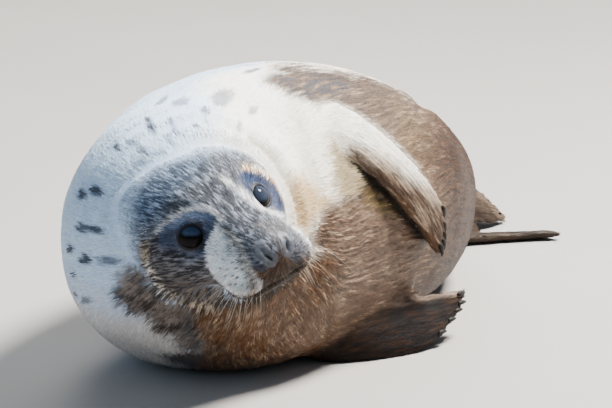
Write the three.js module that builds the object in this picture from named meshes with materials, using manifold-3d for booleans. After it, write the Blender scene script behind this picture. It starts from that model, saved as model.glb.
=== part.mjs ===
// A weaned grey seal pup, life size, lying on its right side with its head turned back over its chest.
// Millimetres, +Z up. +X runs across the body towards the belly, +Y from head to tail. The origin is on
// the floor, below the shoulders, on the flat that the chest lies on.
import * as THREE from "three";
import { mergeVertices } from "three/addons/utils/BufferGeometryUtils.js";
import Module from "manifold-3d";

const wasm = await Module();
wasm.setup();

// ---- Driving sizes -------------------------------------------------------------------------------------
const GAP = 0.3; // between neighbouring solids
const FAR = 3000; // side of a cutting block, larger than the animal

// The torso, from the throat to the root of the tail. Each station gives the middle of a section, its half
// width across the floor (back to belly), its half height (right side to left side) and how far its lower
// belly corner fills out: 1 is a plain ellipse, and less is fuller, as blubber settles on the floor.
const TORSO = [
  { at: [-46, -240, 194], wide: 122, high: 120, sag: 0.95 }, // front of the throat
  { at: [-42, -115, 176], wide: 138, high: 137, sag: 0.9 }, // neck
  { at: [-17, -25, 158], wide: 164, high: 163, sag: 0.86 }, // shoulders
  { at: [38, 95, 154], wide: 176, high: 163, sag: 0.8 }, // chest, the widest girth
  { at: [96, 225, 141], wide: 176, high: 150, sag: 0.7 }, // belly
  { at: [146, 345, 117], wide: 152, high: 124, sag: 0.66 }, // loins
  { at: [183, 445, 88], wide: 114, high: 93, sag: 0.74 }, // hips
  { at: [206, 520, 62], wide: 74, high: 64, sag: 0.86 }, // rump
  { at: [222, 572, 45], wide: 44, high: 39, sag: 1 }, // root of the tail
];
const TORSO_RINGS = 34;
const TORSO_SIDES = 26;
const TORSO_BACK_SAG = 0.8; // the same fullness on the side of the back, at every station
// The torso's first and last stretches, as shares of its length, close in round ends with crowded rings.
const TORSO_ENDS = { front: 1 / 8, back: 0.4 / 8, crowding: 0.55 };
// Where the torso is parted, as shares of its length.
const PARTINGS = { neckToChest: 0.22, chestToBelly: 0.46, bellyToHips: 0.7 };

// The head's own frame: its origin lies midway between the two corneas.
const HEAD_AT = new THREE.Vector3(6, -240, 220);
const HEAD_FORWARD = new THREE.Vector3(0.592, -0.797, -0.117);
const HEAD_UP = new THREE.Vector3(-0.217, -0.298, 0.93);
// Sections along the head: distance forward of the eyes, half width, top line, bottom line, and how far the
// section narrows above and widens below, as a pear does.
const HEAD = [
  { f: 94, wide: 18, top: -8, bottom: -40, pear: 0 }, // tip of the nose
  { f: 85, wide: 33, top: 0, bottom: -56, pear: 0.2 },
  { f: 68, wide: 42, top: 6, bottom: -62, pear: 0.3 }, // whisker pads
  { f: 46, wide: 46, top: 13, bottom: -64, pear: 0.3 },
  { f: 22, wide: 52, top: 22, bottom: -66, pear: 0.25 }, // bridge
  { f: 0, wide: 65, top: 32, bottom: -68, pear: 0.2 }, // eyes
  { f: -30, wide: 81, top: 42, bottom: -71, pear: 0.12 }, // cheeks
  { f: -62, wide: 86, top: 47, bottom: -72, pear: 0.06 }, // ears
  { f: -95, wide: 80, top: 44, bottom: -66, pear: 0 }, // back of the skull
  { f: -125, wide: 58, top: 26, bottom: -48, pear: 0 },
];
const HEAD_RINGS = 28;
const HEAD_SIDES = 30;
const HEAD_END = 0.1; // share of the head's length that each round end takes
const HEAD_BOXY = 0.86; // under 1 squares the section a little
// Soft swellings and hollows on both sides of the head: place (forward, side, up), reach and height.
const HEAD_FORMS = [
  { at: [62, 36, -34], reach: 22, rise: 6 }, // whisker pad
  { at: [66, 42, -50], reach: 19, rise: 7 }, // its lower edge, over the lip
  { at: [-8, 30, 28], reach: 17, rise: 5 }, // brow
  { at: [-20, 74, -42], reach: 36, rise: 8 }, // jowl
  { at: [24, 42, -4], reach: 15, rise: -5 }, // hollow before the eye
  { at: [0, 50, 3], reach: 18, rise: -17 }, // eye socket
  { at: [12, 48, -50], reach: 16, rise: -3 }, // corner of the mouth
];
const HEAD_MIDLINE_FORMS = [
  { at: [92, 0, -46], reach: 9, rise: -5 }, // cleft between the whisker pads
  { at: [30, 0, 20], reach: 18, rise: -2 }, // stop between forehead and muzzle
];
// Places where the head is parted, in its own frame.
const MUZZLE_FROM = 36;
const MOUTH = { from: 6, cornerUp: -50 };
const NOSE = { at: [90, 0, -13], radius: 15 };

const EYE = { at: [-10, 42, -6], radius: 18 }; // the eyeball's middle, forward, sideways and up

// A flipper's stations: middle, direction across it towards its far edge, half width and half thickness.
// slant is how far the far edge runs on past the middle at the tip, and fork how far both edges do.
const FOREFLIPPER_LEFT = {
  stations: [
    { at: [78, 2, 262], across: [-0.3, 0.85, 0.4], wide: 44, thick: 30 }, // shoulder, inside the chest
    { at: [131, 0, 260], across: [-0.2, 0.83, 0.52], wide: 45, thick: 24 },
    { at: [170, 11, 235], across: [0, 0.84, 0.54], wide: 43, thick: 17 }, // wrist
    { at: [197, 27, 208], across: [0.12, 0.82, 0.54], wide: 41, thick: 13 },
    { at: [222, 50, 174], across: [0.22, 0.76, 0.55], wide: 38, thick: 11 }, // palm
    { at: [238, 70, 145], across: [0.3, 0.72, 0.55], wide: 34, thick: 9 },
    { at: [247, 84, 121], across: [0.33, 0.7, 0.55], wide: 29, thick: 7 }, // tips of the digits
  ],
  slant: -24,
  fork: 0,
};
const FOREFLIPPER_RIGHT = {
  stations: [
    { at: [62, -8, 42], across: [0, 0.35, 0.94], wide: 30, thick: 24 }, // shoulder, inside the chest
    { at: [118, -4, 31], across: [0, 0.4, 0.92], wide: 33, thick: 18 },
    { at: [162, 10, 28], across: [0.02, 0.5, 0.86], wide: 33, thick: 13 }, // wrist
    { at: [203, 38, 27], across: [0.05, 0.64, 0.77], wide: 33, thick: 10 }, // palm
    { at: [238, 70, 29], across: [0.05, 0.7, 0.7], wide: 29, thick: 8 },
    { at: [267, 102, 32], across: [0.05, 0.72, 0.69], wide: 21, thick: 6 }, // tips of the digits
  ],
  slant: 50,
  fork: 0,
};
const HINDFLIPPER_LEFT = {
  stations: [
    { at: [188, 490, 76], across: [-0.5, 0.3, 0.8], wide: 34, thick: 28 }, // ankle, inside the rump
    { at: [226, 556, 66], across: [-0.5, 0.4, 0.75], wide: 32, thick: 19 },
    { at: [262, 612, 50], across: [-0.5, 0.4, 0.7], wide: 38, thick: 12 },
    { at: [294, 657, 33], across: [-0.55, 0.45, 0.6], wide: 44, thick: 8 },
    { at: [318, 692, 22], across: [-0.6, 0.5, 0.5], wide: 44, thick: 6 }, // tips of the digits
  ],
  slant: 0,
  fork: 16,
};
const HINDFLIPPER_RIGHT = {
  stations: [
    { at: [190, 500, 36], across: [-0.5, 0.8, 0.2], wide: 34, thick: 26 }, // ankle, inside the rump
    { at: [250, 543, 22], across: [-0.4, 0.9, 0], wide: 34, thick: 15 },
    { at: [308, 570, 12], across: [-0.35, 0.93, -0.12], wide: 39, thick: 10 },
    { at: [356, 587, 9], across: [-0.3, 0.95, -0.14], wide: 45, thick: 8 },
    { at: [394, 598, 9], across: [-0.3, 0.95, -0.14], wide: 45, thick: 6 }, // tips of the digits
  ],
  slant: 0,
  fork: 16,
};
const FLIPPER_RINGS = 14;
const FLIPPER_SIDES = 12;
const FLIPPER_END = 0.16; // share of a flipper's length over which its tip rounds off

const TAIL = {
  stations: [
    { at: [214, 545, 52], across: [0.9, -0.4, 0], wide: 30, thick: 22 },
    { at: [230, 600, 46], across: [0.9, -0.4, 0], wide: 24, thick: 14 },
    { at: [246, 650, 40], across: [0.9, -0.4, 0], wide: 15, thick: 8 },
  ],
  slant: 0,
  fork: 0,
};

// Claws: where they stand across a flipper, from -1 at the near edge to 1 at the far edge, and their size.
const CLAW_ACROSS = [-0.82, -0.45, -0.05, 0.36, 0.76];
const CLAW_FORE = { length: 21, radius: 3 };
const CLAW_HIND = { length: 12, radius: 2.2 };

// ---- Curves and solids --------------------------------------------------------------------------------
const vec = (xyz) => new THREE.Vector3(...xyz);
const clamp01 = (x) => Math.min(1, Math.max(0, x));

// A smooth curve through one number per station, read at t from 0 to 1 along the stations.
function stationCurve(numbers) {
  const points = numbers.map((n) => new THREE.Vector3(n, 0, 0));
  const curve = new THREE.CatmullRomCurve3(points, false, "catmullrom", 0.5);
  return (t) => curve.getPoint(clamp01(t)).x;
}

const signedPower = (x, power) => Math.sign(x) * Math.abs(x) ** power;
// How wide a round end is, from 0 at its tip to 1 where it reaches its full section.
const roundEnd = (share) => (share < 1 ? Math.sqrt(Math.max(0, 1 - (1 - share) ** 2)) : 1);

// The geometry with only its positions, and shared vertices merged.
function merged(geometry) {
  geometry.deleteAttribute("normal");
  geometry.deleteAttribute("uv");
  return mergeVertices(geometry, 1e-3);
}

function solidOf(geometry) {
  const g = merged(geometry);
  const solid = new wasm.Manifold(
    new wasm.Mesh({
      numProp: 3,
      vertProperties: g.attributes.position.array,
      triVerts: new Uint32Array(g.index.array),
    }),
  );
  if (solid.volume() < 0) throw new Error("a form is inside out");
  return solid;
}

function geometryOf(solid) {
  const { numProp, vertProperties, triVerts } = solid.getMesh();
  const positions = new Float32Array((vertProperties.length / numProp) * 3);
  for (let i = 0; i < positions.length / 3; i++)
    positions.set(vertProperties.subarray(i * numProp, i * numProp + 3), i * 3);
  const g = new THREE.BufferGeometry();
  g.setAttribute("position", new THREE.BufferAttribute(positions, 3));
  g.setIndex(new THREE.BufferAttribute(new Uint32Array(triVerts), 1));
  g.computeVertexNormals();
  return g;
}

// A closed skin over a ball's grid: place(t, angle) gives each point, with t from 0 at one end to 1.
function loft(rings, sides, place) {
  const g = merged(new THREE.SphereGeometry(1, sides, rings));
  const p = g.attributes.position;
  for (let i = 0; i < p.count; i++) {
    const [x, y, z] = [p.getX(i), p.getY(i), p.getZ(i)];
    const t = Math.acos(THREE.MathUtils.clamp(y, -1, 1)) / Math.PI;
    const q = place(t, Math.atan2(-z, x));
    p.setXYZ(i, q.x, q.y, q.z);
  }
  return solidOf(g);
}

// ---- Torso ---------------------------------------------------------------------------------------------
const torsoLine = new THREE.CatmullRomCurve3(TORSO.map((s) => vec(s.at)), false, "catmullrom", 0.5);
const torsoWide = stationCurve(TORSO.map((s) => s.wide));
const torsoHigh = stationCurve(TORSO.map((s) => s.high));
const torsoSag = stationCurve(TORSO.map((s) => s.sag));

// The section's own directions at t: belly lies level, side points to the animal's left, upwards.
function torsoFrame(t) {
  const along = torsoLine.getTangent(t);
  const belly = new THREE.Vector3(along.y, -along.x, 0).normalize();
  const side = new THREE.Vector3().crossVectors(belly, along).normalize();
  return { middle: torsoLine.getPoint(t), along, belly, side };
}

function torso(grow) {
  const { front, back, crowding } = TORSO_ENDS;
  return loft(TORSO_RINGS, TORSO_SIDES, (share, angle) => {
    const t = share - (crowding * Math.sin(2 * Math.PI * share)) / (2 * Math.PI);
    const { middle, along, belly, side } = torsoFrame(t);
    const toEnd = t < 0.5 ? t / front : (1 - t) / back;
    const cap = roundEnd(toEnd);
    const [c, s] = [Math.cos(angle), Math.sin(angle)];
    const full = s > 0 ? 1 : c > 0 ? torsoSag(t) : TORSO_BACK_SAG;
    const wide = (torsoWide(t) + grow) * cap * signedPower(c, full);
    const high = (torsoHigh(t) + grow) * cap * signedPower(s, full);
    const outward = toEnd < 1 ? grow * (t < 0.5 ? -1 : 1) * (1 - toEnd) : 0;
    return middle
      .addScaledVector(along, outward)
      .addScaledVector(belly, wide)
      .addScaledVector(side, high);
  });
}

// The stretch of a solid between two shares of the torso's length, half a gap clear of each parting.
function stretch(solid, from, to) {
  let piece = solid;
  for (const [t, way] of [[from, -1], [to, 1]]) {
    if (t <= 0 || t >= 1) continue;
    const { middle, along } = torsoFrame(t);
    const block = new THREE.BoxGeometry(FAR, FAR, FAR);
    block.applyQuaternion(new THREE.Quaternion().setFromUnitVectors(new THREE.Vector3(0, 0, 1), along));
    middle.addScaledVector(along, way * (FAR / 2 - GAP / 2));
    piece = piece.subtract(solidOf(block.translate(middle.x, middle.y, middle.z)));
  }
  return piece;
}

// ---- Head ----------------------------------------------------------------------------------------------
const headForward = HEAD_FORWARD.clone().normalize();
const headLeft = new THREE.Vector3().crossVectors(HEAD_UP, headForward).normalize();
const headUp = new THREE.Vector3().crossVectors(headForward, headLeft);
const fromHead = (f, l, u) =>
  HEAD_AT.clone()
    .addScaledVector(headForward, f)
    .addScaledVector(headLeft, l)
    .addScaledVector(headUp, u);

const headStation = stationCurve(HEAD.map((s) => s.f));
const headWide = stationCurve(HEAD.map((s) => s.wide));
const headTop = stationCurve(HEAD.map((s) => s.top));
const headBottom = stationCurve(HEAD.map((s) => s.bottom));
const headPear = stationCurve(HEAD.map((s) => s.pear));

// How far the soft forms lift the head's surface at a place in the head's frame.
function softForms(f, l, u) {
  const lift = (forms, side) =>
    forms.reduce((sum, { at, reach, rise }) => {
      const d2 = (f - at[0]) ** 2 + (side - at[1]) ** 2 + (u - at[2]) ** 2;
      return sum + rise * Math.exp(-d2 / (reach * reach));
    }, 0);
  return lift(HEAD_FORMS, Math.abs(l)) + lift(HEAD_MIDLINE_FORMS, l);
}

function head(grow) {
  return loft(HEAD_RINGS, HEAD_SIDES, (t, angle) => {
    const toEnd = Math.min(t, 1 - t) / HEAD_END;
    const cap = roundEnd(toEnd);
    const wide = headWide(t);
    const middle = (headTop(t) + headBottom(t)) / 2;
    const high = (headTop(t) - headBottom(t)) / 2;
    const f = headStation(t) + (toEnd < 1 ? grow * (t < 0.5 ? 1 : -1) * (1 - toEnd) : 0);
    const pear = 1 - headPear(t) * Math.sin(angle);
    const l = signedPower(Math.cos(angle), HEAD_BOXY) * wide * pear * cap;
    const u = signedPower(Math.sin(angle), HEAD_BOXY) * high * cap;
    const out = new THREE.Vector2(l / wide, u / high).normalize();
    const rise = softForms(f, l, u + middle) * cap + grow * cap;
    return fromHead(f, l + out.x * rise, u + middle + out.y * rise);
  });
}

// A block in the head's frame, from one corner to the other.
function headBlock(low, high) {
  const size = vec(high).sub(vec(low));
  const middle = vec(low).add(vec(high)).divideScalar(2);
  const block = new THREE.BoxGeometry(size.x, size.y, size.z).translate(middle.x, middle.y, middle.z);
  return solidOf(block.applyMatrix4(headMatrix));
}
const headMatrix = new THREE.Matrix4()
  .makeBasis(headForward, headLeft, headUp)
  .setPosition(HEAD_AT);

function ball(at, radius, columns, rows) {
  return solidOf(new THREE.SphereGeometry(radius, columns, rows).translate(...at.toArray()));
}
const eyeball = (side, grow) =>
  ball(fromHead(EYE.at[0], side * EYE.at[1], EYE.at[2]), EYE.radius + grow, 16, 10);
const noseBall = (grow) => ball(fromHead(...NOSE.at), NOSE.radius + grow, 10, 8);

// ---- Flippers, tail and claws --------------------------------------------------------------------------
// A flat tapering limb with a round tip. Its sections stand square to its line.
function limb({ stations, slant, fork }) {
  const line = new THREE.CatmullRomCurve3(stations.map((s) => vec(s.at)), false, "catmullrom", 0.5);
  const acrossLine = new THREE.CatmullRomCurve3(stations.map((s) => vec(s.across)));
  const wide = stationCurve(stations.map((s) => s.wide));
  const thick = stationCurve(stations.map((s) => s.thick));
  const frameAt = (t) => {
    const along = line.getTangent(t);
    const across = acrossLine.getPoint(t);
    across.addScaledVector(along, -across.dot(along)).normalize();
    return { middle: line.getPoint(t), along, across, face: new THREE.Vector3().crossVectors(across, along) };
  };
  // A point at t along, c across (-1 to 1) and s through the thickness (-1 to 1).
  const point = (t, c, s, grow = 0) => {
    const { middle, along, across, face } = frameAt(t);
    const tip = (1 - t) / FLIPPER_END;
    const cap = roundEnd(tip) * roundEnd(t / FLIPPER_END);
    const beyond = (slant * c + fork * c * c) * cap * t * t + (tip < 1 ? grow * (1 - tip) : 0);
    return middle
      .addScaledVector(along, beyond)
      .addScaledVector(across, (wide(t) + grow) * cap * c)
      .addScaledVector(face, (thick(t) * Math.sqrt(cap) + grow) * s);
  };
  const solid = (grow) =>
    loft(FLIPPER_RINGS, FLIPPER_SIDES, (t, angle) => point(t, Math.cos(angle), Math.sin(angle), grow));
  return { frameAt, point, solid };
}

// A claw on a flipper's outer face, at c across it, that runs on past the rim and bends inwards.
function claw(flipper, c, { length, radius }) {
  const rim = 1 - FLIPPER_END * (1.35 - Math.sqrt(1 - c * c));
  const { along, across, face } = flipper.frameAt(rim);
  const root = flipper.point(rim, 0.9 * c, -0.9);
  return loft(5, 5, (t, angle) => {
    const lift = length * (0.12 - 0.3 * t * t);
    const girth = radius * roundEnd(3 * t) * Math.cos((Math.PI / 2) * t);
    return root
      .clone()
      .addScaledVector(along, length * t)
      .addScaledVector(across, girth * Math.cos(angle))
      .addScaledVector(face, girth * Math.sin(angle) - lift);
  });
}

// ---- Assembly ------------------------------------------------------------------------------------------
const finish = (color, roughness) => new THREE.MeshStandardMaterial({ color, roughness, metalness: 0 });
const COAT = finish(0xcfcac0, 0.75);
const FACE = finish(0xa6a39d, 0.7);
const WET_COAT = finish(0x8d7463, 0.6);
const NOSE_SKIN = finish(0x2c2a2a, 0.35);
const EYE_GLASS = finish(0x0c0b0b, 0.05);
const HORN = finish(0x241f1c, 0.4);

const seal = new THREE.Group();
function add(name, solid, material) {
  const mesh = new THREE.Mesh(geometryOf(solid), material);
  mesh.name = name;
  seal.add(mesh);
}

const floor = solidOf(new THREE.BoxGeometry(FAR, FAR, FAR).translate(0, 0, -FAR / 2));
const trunk = torso(0).subtract(floor).subtract(head(GAP));
const { neckToChest, chestToBelly, bellyToHips } = PARTINGS;
add("neck", stretch(trunk, 0, neckToChest), COAT);
add("chest", stretch(trunk, neckToChest, chestToBelly), COAT);
add("belly", stretch(trunk, chestToBelly, bellyToHips), WET_COAT);
add("hips", stretch(trunk, bellyToHips, 1), COAT);

// The head: eyeballs in their sockets, then the jaw, the nose and the muzzle parted from the skull.
const face = head(0).subtract(eyeball(1, GAP)).subtract(eyeball(-1, GAP));
const jawBlock = (grow) => headBlock([MOUTH.from - grow, -FAR, -FAR], [FAR, FAR, MOUTH.cornerUp + grow]);
const muzzleBlock = (grow) => headBlock([MUZZLE_FROM - grow, -FAR, -FAR], [FAR, FAR, FAR]);
const upper = face.subtract(jawBlock(GAP));
add("head", upper.subtract(muzzleBlock(GAP)), FACE);
add("muzzle", upper.intersect(muzzleBlock(0)).subtract(noseBall(GAP)), FACE);
add("nose", upper.intersect(noseBall(0)), NOSE_SKIN);
add("jaw", face.intersect(jawBlock(0)), FACE);
add("eye_left", eyeball(1, 0), EYE_GLASS);
add("eye_right", eyeball(-1, 0), EYE_GLASS);

// Each limb is cut clear of the torso, the floor and the limbs before it, and its claws clear of them all.
let taken = torso(GAP).add(floor);
for (const { name, spec, material, claws } of [
  { name: "foreflipper_left", spec: FOREFLIPPER_LEFT, material: COAT, claws: CLAW_FORE },
  { name: "foreflipper_right", spec: FOREFLIPPER_RIGHT, material: WET_COAT, claws: CLAW_FORE },
  { name: "hindflipper_right", spec: HINDFLIPPER_RIGHT, material: WET_COAT, claws: CLAW_HIND },
  { name: "hindflipper_left", spec: HINDFLIPPER_LEFT, material: COAT, claws: CLAW_HIND },
  { name: "tail", spec: TAIL, material: COAT },
]) {
  const flipper = limb(spec);
  add(name, flipper.solid(0).subtract(taken), material);
  taken = taken.add(flipper.solid(GAP));
  if (!claws) continue;
  CLAW_ACROSS.forEach((c, i) => {
    add(`${name}_claw_${i + 1}`, claw(flipper, c, claws).subtract(taken), HORN);
  });
}

export default seal;
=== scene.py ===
import itertools
import logging
import math
from dataclasses import dataclass, field
from enum import Enum
from typing import Any, Callable, Iterable, Sequence

import bmesh
import bpy
import numpy as np
from mathutils import Matrix, Vector
from mathutils.bvhtree import BVHTree


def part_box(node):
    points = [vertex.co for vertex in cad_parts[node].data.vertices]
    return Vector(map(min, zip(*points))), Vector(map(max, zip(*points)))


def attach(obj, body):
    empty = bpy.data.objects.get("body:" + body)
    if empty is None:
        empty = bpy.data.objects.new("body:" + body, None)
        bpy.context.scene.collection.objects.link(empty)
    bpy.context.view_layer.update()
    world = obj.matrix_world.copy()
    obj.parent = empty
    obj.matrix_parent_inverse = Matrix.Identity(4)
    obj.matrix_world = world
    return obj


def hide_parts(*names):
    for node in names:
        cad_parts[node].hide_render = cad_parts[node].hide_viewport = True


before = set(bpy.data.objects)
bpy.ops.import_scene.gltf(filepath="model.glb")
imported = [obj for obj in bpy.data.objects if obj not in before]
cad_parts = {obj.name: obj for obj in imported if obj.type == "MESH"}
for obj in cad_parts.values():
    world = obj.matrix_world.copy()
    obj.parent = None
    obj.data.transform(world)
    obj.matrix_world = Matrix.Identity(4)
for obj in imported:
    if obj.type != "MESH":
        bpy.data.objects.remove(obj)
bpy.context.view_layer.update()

log = logging.getLogger("seal")
MM = 0.001
Array = np.ndarray
Tone = tuple[float, float, float]
Tones = tuple[Tone, Tone]
Colour = tuple[float, float, float, float]
Place = tuple[float, float, float]


class Part(Enum):
    """The parts of the body that the skin covers, each with the CAD nodes it stands for."""

    TRUNK = ("neck", "chest", "belly", "hips")
    HEAD = ("head", "muzzle", "nose", "jaw")
    FOREFLIPPER_LEFT = ("foreflipper_left",)
    FOREFLIPPER_RIGHT = ("foreflipper_right",)
    HINDFLIPPER_LEFT = ("hindflipper_left",)
    HINDFLIPPER_RIGHT = ("hindflipper_right",)
    TAIL = ("tail",)


PARTS = list(Part)
LIMBS = PARTS[2:]
EYE_NODES = ("eye_left", "eye_right")


# ---- Arrays --------------------------------------------------------------------------------------------
def unit(vectors: Array) -> Array:
    """Vectors scaled to a length of one."""
    return vectors / np.maximum(np.linalg.norm(vectors, axis=-1, keepdims=True), 1e-12)


def ramp(x: Array, low: float, high: float) -> Array:
    """A smooth step from 0 at low to 1 at high, which may be the smaller."""
    t = np.clip((np.asarray(x, float) - low) / (high - low), 0, 1)
    return t * t * (3 - 2 * t)


def mix(a: Any, b: Any, share: Any) -> Array:
    """One row, or many, mixed with another, with one share of b for each row."""
    a, b = np.asarray(a, float), np.asarray(b, float)
    return a + (b - a) * np.asarray(share)[..., None]


def tinge(tones: Array, colour: Tone, share: Array) -> Array:
    """Tones multiplied by a colour, as far as the share goes."""
    return tones * mix(np.ones(3), colour, share)


def bell(x: Array, width: Any) -> Array:
    """A soft bump that is 1 where x is 0 and fades over the width on both sides."""
    return np.exp(-((x / width) ** 2))


def folded(places_mm: Array) -> Array:
    """Places on the head, with its right side laid over its left."""
    return np.stack([places_mm[:, 0], np.abs(places_mm[:, 1]), places_mm[:, 2]], 1)


def value_noise(points_mm: Array, size: float, seed: int) -> Array:
    """Smooth noise from about -1 to 1.

    Args:
        points_mm: places, one row each.
        size: length of one lump, in the units of the places.
        seed: picks one pattern.

    Returns:
        One number for each place.
    """
    q = points_mm / size + seed * 17.31
    cell = np.floor(q).astype(np.int64)
    f = q - cell
    f = f * f * (3 - 2 * f)
    total = np.zeros(len(q))
    for corner in itertools.product((0, 1), repeat=3):
        c = cell + corner
        h = (c[:, 0] * 73856093) ^ (c[:, 1] * 19349663) ^ (c[:, 2] * 83492791) ^ (seed * 40503)
        h = ((h ^ (h >> 13)) * 1274126177) & 0x7FFFFFFF
        h = ((h ^ (h >> 16)) * 1103515245) & 0x7FFFFFFF
        share = np.prod(np.where(corner, f, 1 - f), axis=1)
        total += share * (h / 0x3FFFFFFF - 1)
    return total


def streaks(points_mm: Array, flow: Array, size: float, reach: float, seed: int) -> Array:
    """Noise drawn out along the lie of the coat, from about -1 to 1."""
    count = max(5, math.ceil(2 * reach / size) + 1)
    steps = np.linspace(-reach, reach, count)
    return sum(value_noise(points_mm + flow * s, size, seed) for s in steps) / (1.16 * math.sqrt(count))


def to_line(points: Array, line: Sequence[Sequence[float]]) -> tuple[Array, Array]:
    """Distance from each point to a broken line, and the share of the line's length at the nearest place."""
    line = np.asarray(line, float)
    legs = line[1:] - line[:-1]
    lengths = np.linalg.norm(legs, axis=1)
    before = np.concatenate([[0], np.cumsum(lengths)])
    best = np.full(len(points), np.inf)
    share = np.zeros(len(points))
    for i, leg in enumerate(legs):
        t = np.clip((points - line[i]) @ leg / (leg @ leg), 0, 1)
        d = np.linalg.norm(points - line[i] - t[:, None] * leg, axis=1)
        nearer = d < best
        best[nearer] = d[nearer]
        share[nearer] = ((before[i] + t * lengths[i]) / before[-1])[nearer]
    return best, share


def inside_outline(uv: Array, corners: Sequence[Sequence[float]]) -> Array:
    """Signed distance to a flat outline, positive inside."""
    c = np.asarray(corners, float)
    distance = np.full(len(uv), np.inf)
    inside = np.zeros(len(uv), bool)
    for a, b in zip(c, np.roll(c, -1, axis=0)):
        leg = b - a
        t = np.clip((uv - a) @ leg / (leg @ leg), 0, 1)
        distance = np.minimum(distance, np.linalg.norm(uv - a - t[:, None] * leg, axis=1))
        crosses = (a[1] > uv[:, 1]) != (b[1] > uv[:, 1])
        rise = b[1] - a[1] if b[1] != a[1] else 1e-9
        inside ^= crosses & (uv[:, 0] < a[0] + (uv[:, 1] - a[1]) / rise * leg[0])
    return np.where(inside, distance, -distance)


# ---- The head's own frame --------------------------------------------------------------------------------
@dataclass(frozen=True)
class HeadFrame:
    """Axes of the head, with their origin midway between the corneas."""

    origin_mm: Place = (6, -240, 220)
    ahead: Place = (0.592, -0.797, -0.117)
    above: Place = (-0.217, -0.298, 0.93)

    @property
    def axes(self) -> Array:
        """Forward, left and up as the rows of a turn from the world to the head."""
        forward = unit(np.array(self.ahead))
        left = unit(np.cross(self.above, forward))
        return np.array([forward, left, np.cross(forward, left)])

    def local(self, points: Array) -> Array:
        """World places in metres as head places in millimetres."""
        return (points / MM - np.array(self.origin_mm)) @ self.axes.T

    def world(self, places_mm: Array) -> Array:
        """Head places in millimetres as world places in metres."""
        return (np.asarray(places_mm, float) @ self.axes + np.array(self.origin_mm)) * MM

    def turn(self, directions: Array) -> Array:
        """Head directions as world directions."""
        return np.asarray(directions, float) @ self.axes


HEAD = HeadFrame()


@dataclass(frozen=True)
class EyeForm:
    """One eyeball: its place, size and gaze, for the left side; the right side mirrors it."""

    centre_mm: Place = (-10, 42, -6)
    radius_mm: float = 18
    gaze: Place = (0.745, 0.455, 0.49)
    opening_deg: float = 47
    squint_deg: float = 2.5
    corners_deg: float = 3.5

    def centre(self, side: int) -> Array:
        """The eyeball's middle on the left side, 1, or the right side, -1."""
        return np.array(self.centre_mm) * np.array([1, side, 1])

    def axes(self) -> Array:
        """Gaze, the direction towards the nose and the upward direction, as rows, for the left side."""
        gaze = unit(np.array(self.gaze))
        up = unit(np.array([0, 0, 1]) - gaze[2] * gaze)
        return np.array([gaze, np.cross(gaze, up), up])

    def polar(self, local_mm: Array) -> tuple[Array, Array, Array]:
        """Places on the head as seen from the nearer eyeball.

        Args:
            local_mm: places on the head, on either side.

        Returns:
            Distance from the eyeball's middle, angle from the gaze in degrees, and angle round the gaze.
        """
        v = folded(local_mm) - self.centre(1)
        g, inward, up = self.axes()
        r = np.linalg.norm(v, axis=1)
        off = np.degrees(np.arccos(np.clip(v @ g / np.maximum(r, 1e-9), -1, 1)))
        return r, off, np.arctan2(v @ up, v @ inward)

    def opening(self, turn: Array) -> Array:
        """Half angle of the opening between the lids, in degrees, round the gaze."""
        height, width = np.abs(np.sin(turn)) ** 2, np.abs(np.cos(turn)) ** 6
        return self.opening_deg - self.squint_deg * height + self.corners_deg * width


EYE = EyeForm()


# ---- Meshes and shaders ------------------------------------------------------------------------------------
def node_mesh(name: str) -> bpy.types.Mesh:
    """The mesh of a CAD node."""
    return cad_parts[name].data


def joined(names: Iterable[str], swell: float = 0.0) -> bmesh.types.BMesh:
    """Copies of CAD nodes in one bmesh, their loose triangles merged.

    Args:
        names: the nodes.
        swell: how far every vertex moves out along its normal.

    Returns:
        The bmesh, which the caller frees.
    """
    bm = bmesh.new()
    for name in names:
        bm.from_mesh(node_mesh(name))
    bmesh.ops.remove_doubles(bm, verts=bm.verts, dist=1e-5)
    bm.normal_update()
    for vertex in bm.verts:
        vertex.co += vertex.normal * swell
    return bm


def piece(
    name: str,
    mesh: bpy.types.Mesh,
    material: bpy.types.Material,
    stands_for: Sequence[str] = (),
) -> bpy.types.Object:
    """Makes a shown piece that rides on the body.

    Args:
        name: the piece's name.
        mesh: its mesh, in place.
        material: its finish.
        stands_for: the CAD nodes that it replaces.

    Returns:
        The object.
    """
    obj = bpy.data.objects.new(name, mesh)
    bpy.context.scene.collection.objects.link(obj)
    mesh.materials.clear()
    mesh.materials.append(material)
    mesh.shade_smooth()
    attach(obj, "root")
    if stands_for:
        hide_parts(*stands_for)
    log.info("%s: %d faces", name, len(mesh.polygons))
    return obj


def mesh_of(bm: bmesh.types.BMesh, name: str) -> bpy.types.Mesh:
    """A mesh from a bmesh, which is freed."""
    mesh = bpy.data.meshes.new(name)
    bm.to_mesh(mesh)
    bm.free()
    return mesh


def points_of(mesh: bpy.types.Mesh) -> Array:
    """The mesh's vertices, one row each."""
    out = np.empty(len(mesh.vertices) * 3)
    mesh.vertices.foreach_get("co", out)
    return out.reshape(-1, 3)


def normals_of(mesh: bpy.types.Mesh) -> Array:
    """The mesh's vertex normals, one row each."""
    mesh.update()
    out = np.empty(len(mesh.vertices) * 3)
    mesh.vertex_normals.foreach_get("vector", out)
    return out.reshape(-1, 3)


def edges_of(mesh: bpy.types.Mesh) -> Array:
    """The mesh's edges, one row of two vertices each."""
    out = np.empty(len(mesh.edges) * 2, np.int32)
    mesh.edges.foreach_get("vertices", out)
    return out.reshape(-1, 2)


def neighbour_mean(values: Array, edges: Array) -> Array:
    """The mean of each vertex's neighbours."""
    n = len(values)
    count = np.maximum(np.bincount(edges.ravel(), minlength=n), 1)
    flat = values.reshape(n, -1)
    one, two = edges.T
    columns = []
    for k in range(flat.shape[1]):
        columns.append(np.bincount(one, flat[two, k], n) + np.bincount(two, flat[one, k], n))
    return (np.stack(columns, 1) / count[:, None]).reshape(values.shape)


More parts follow.
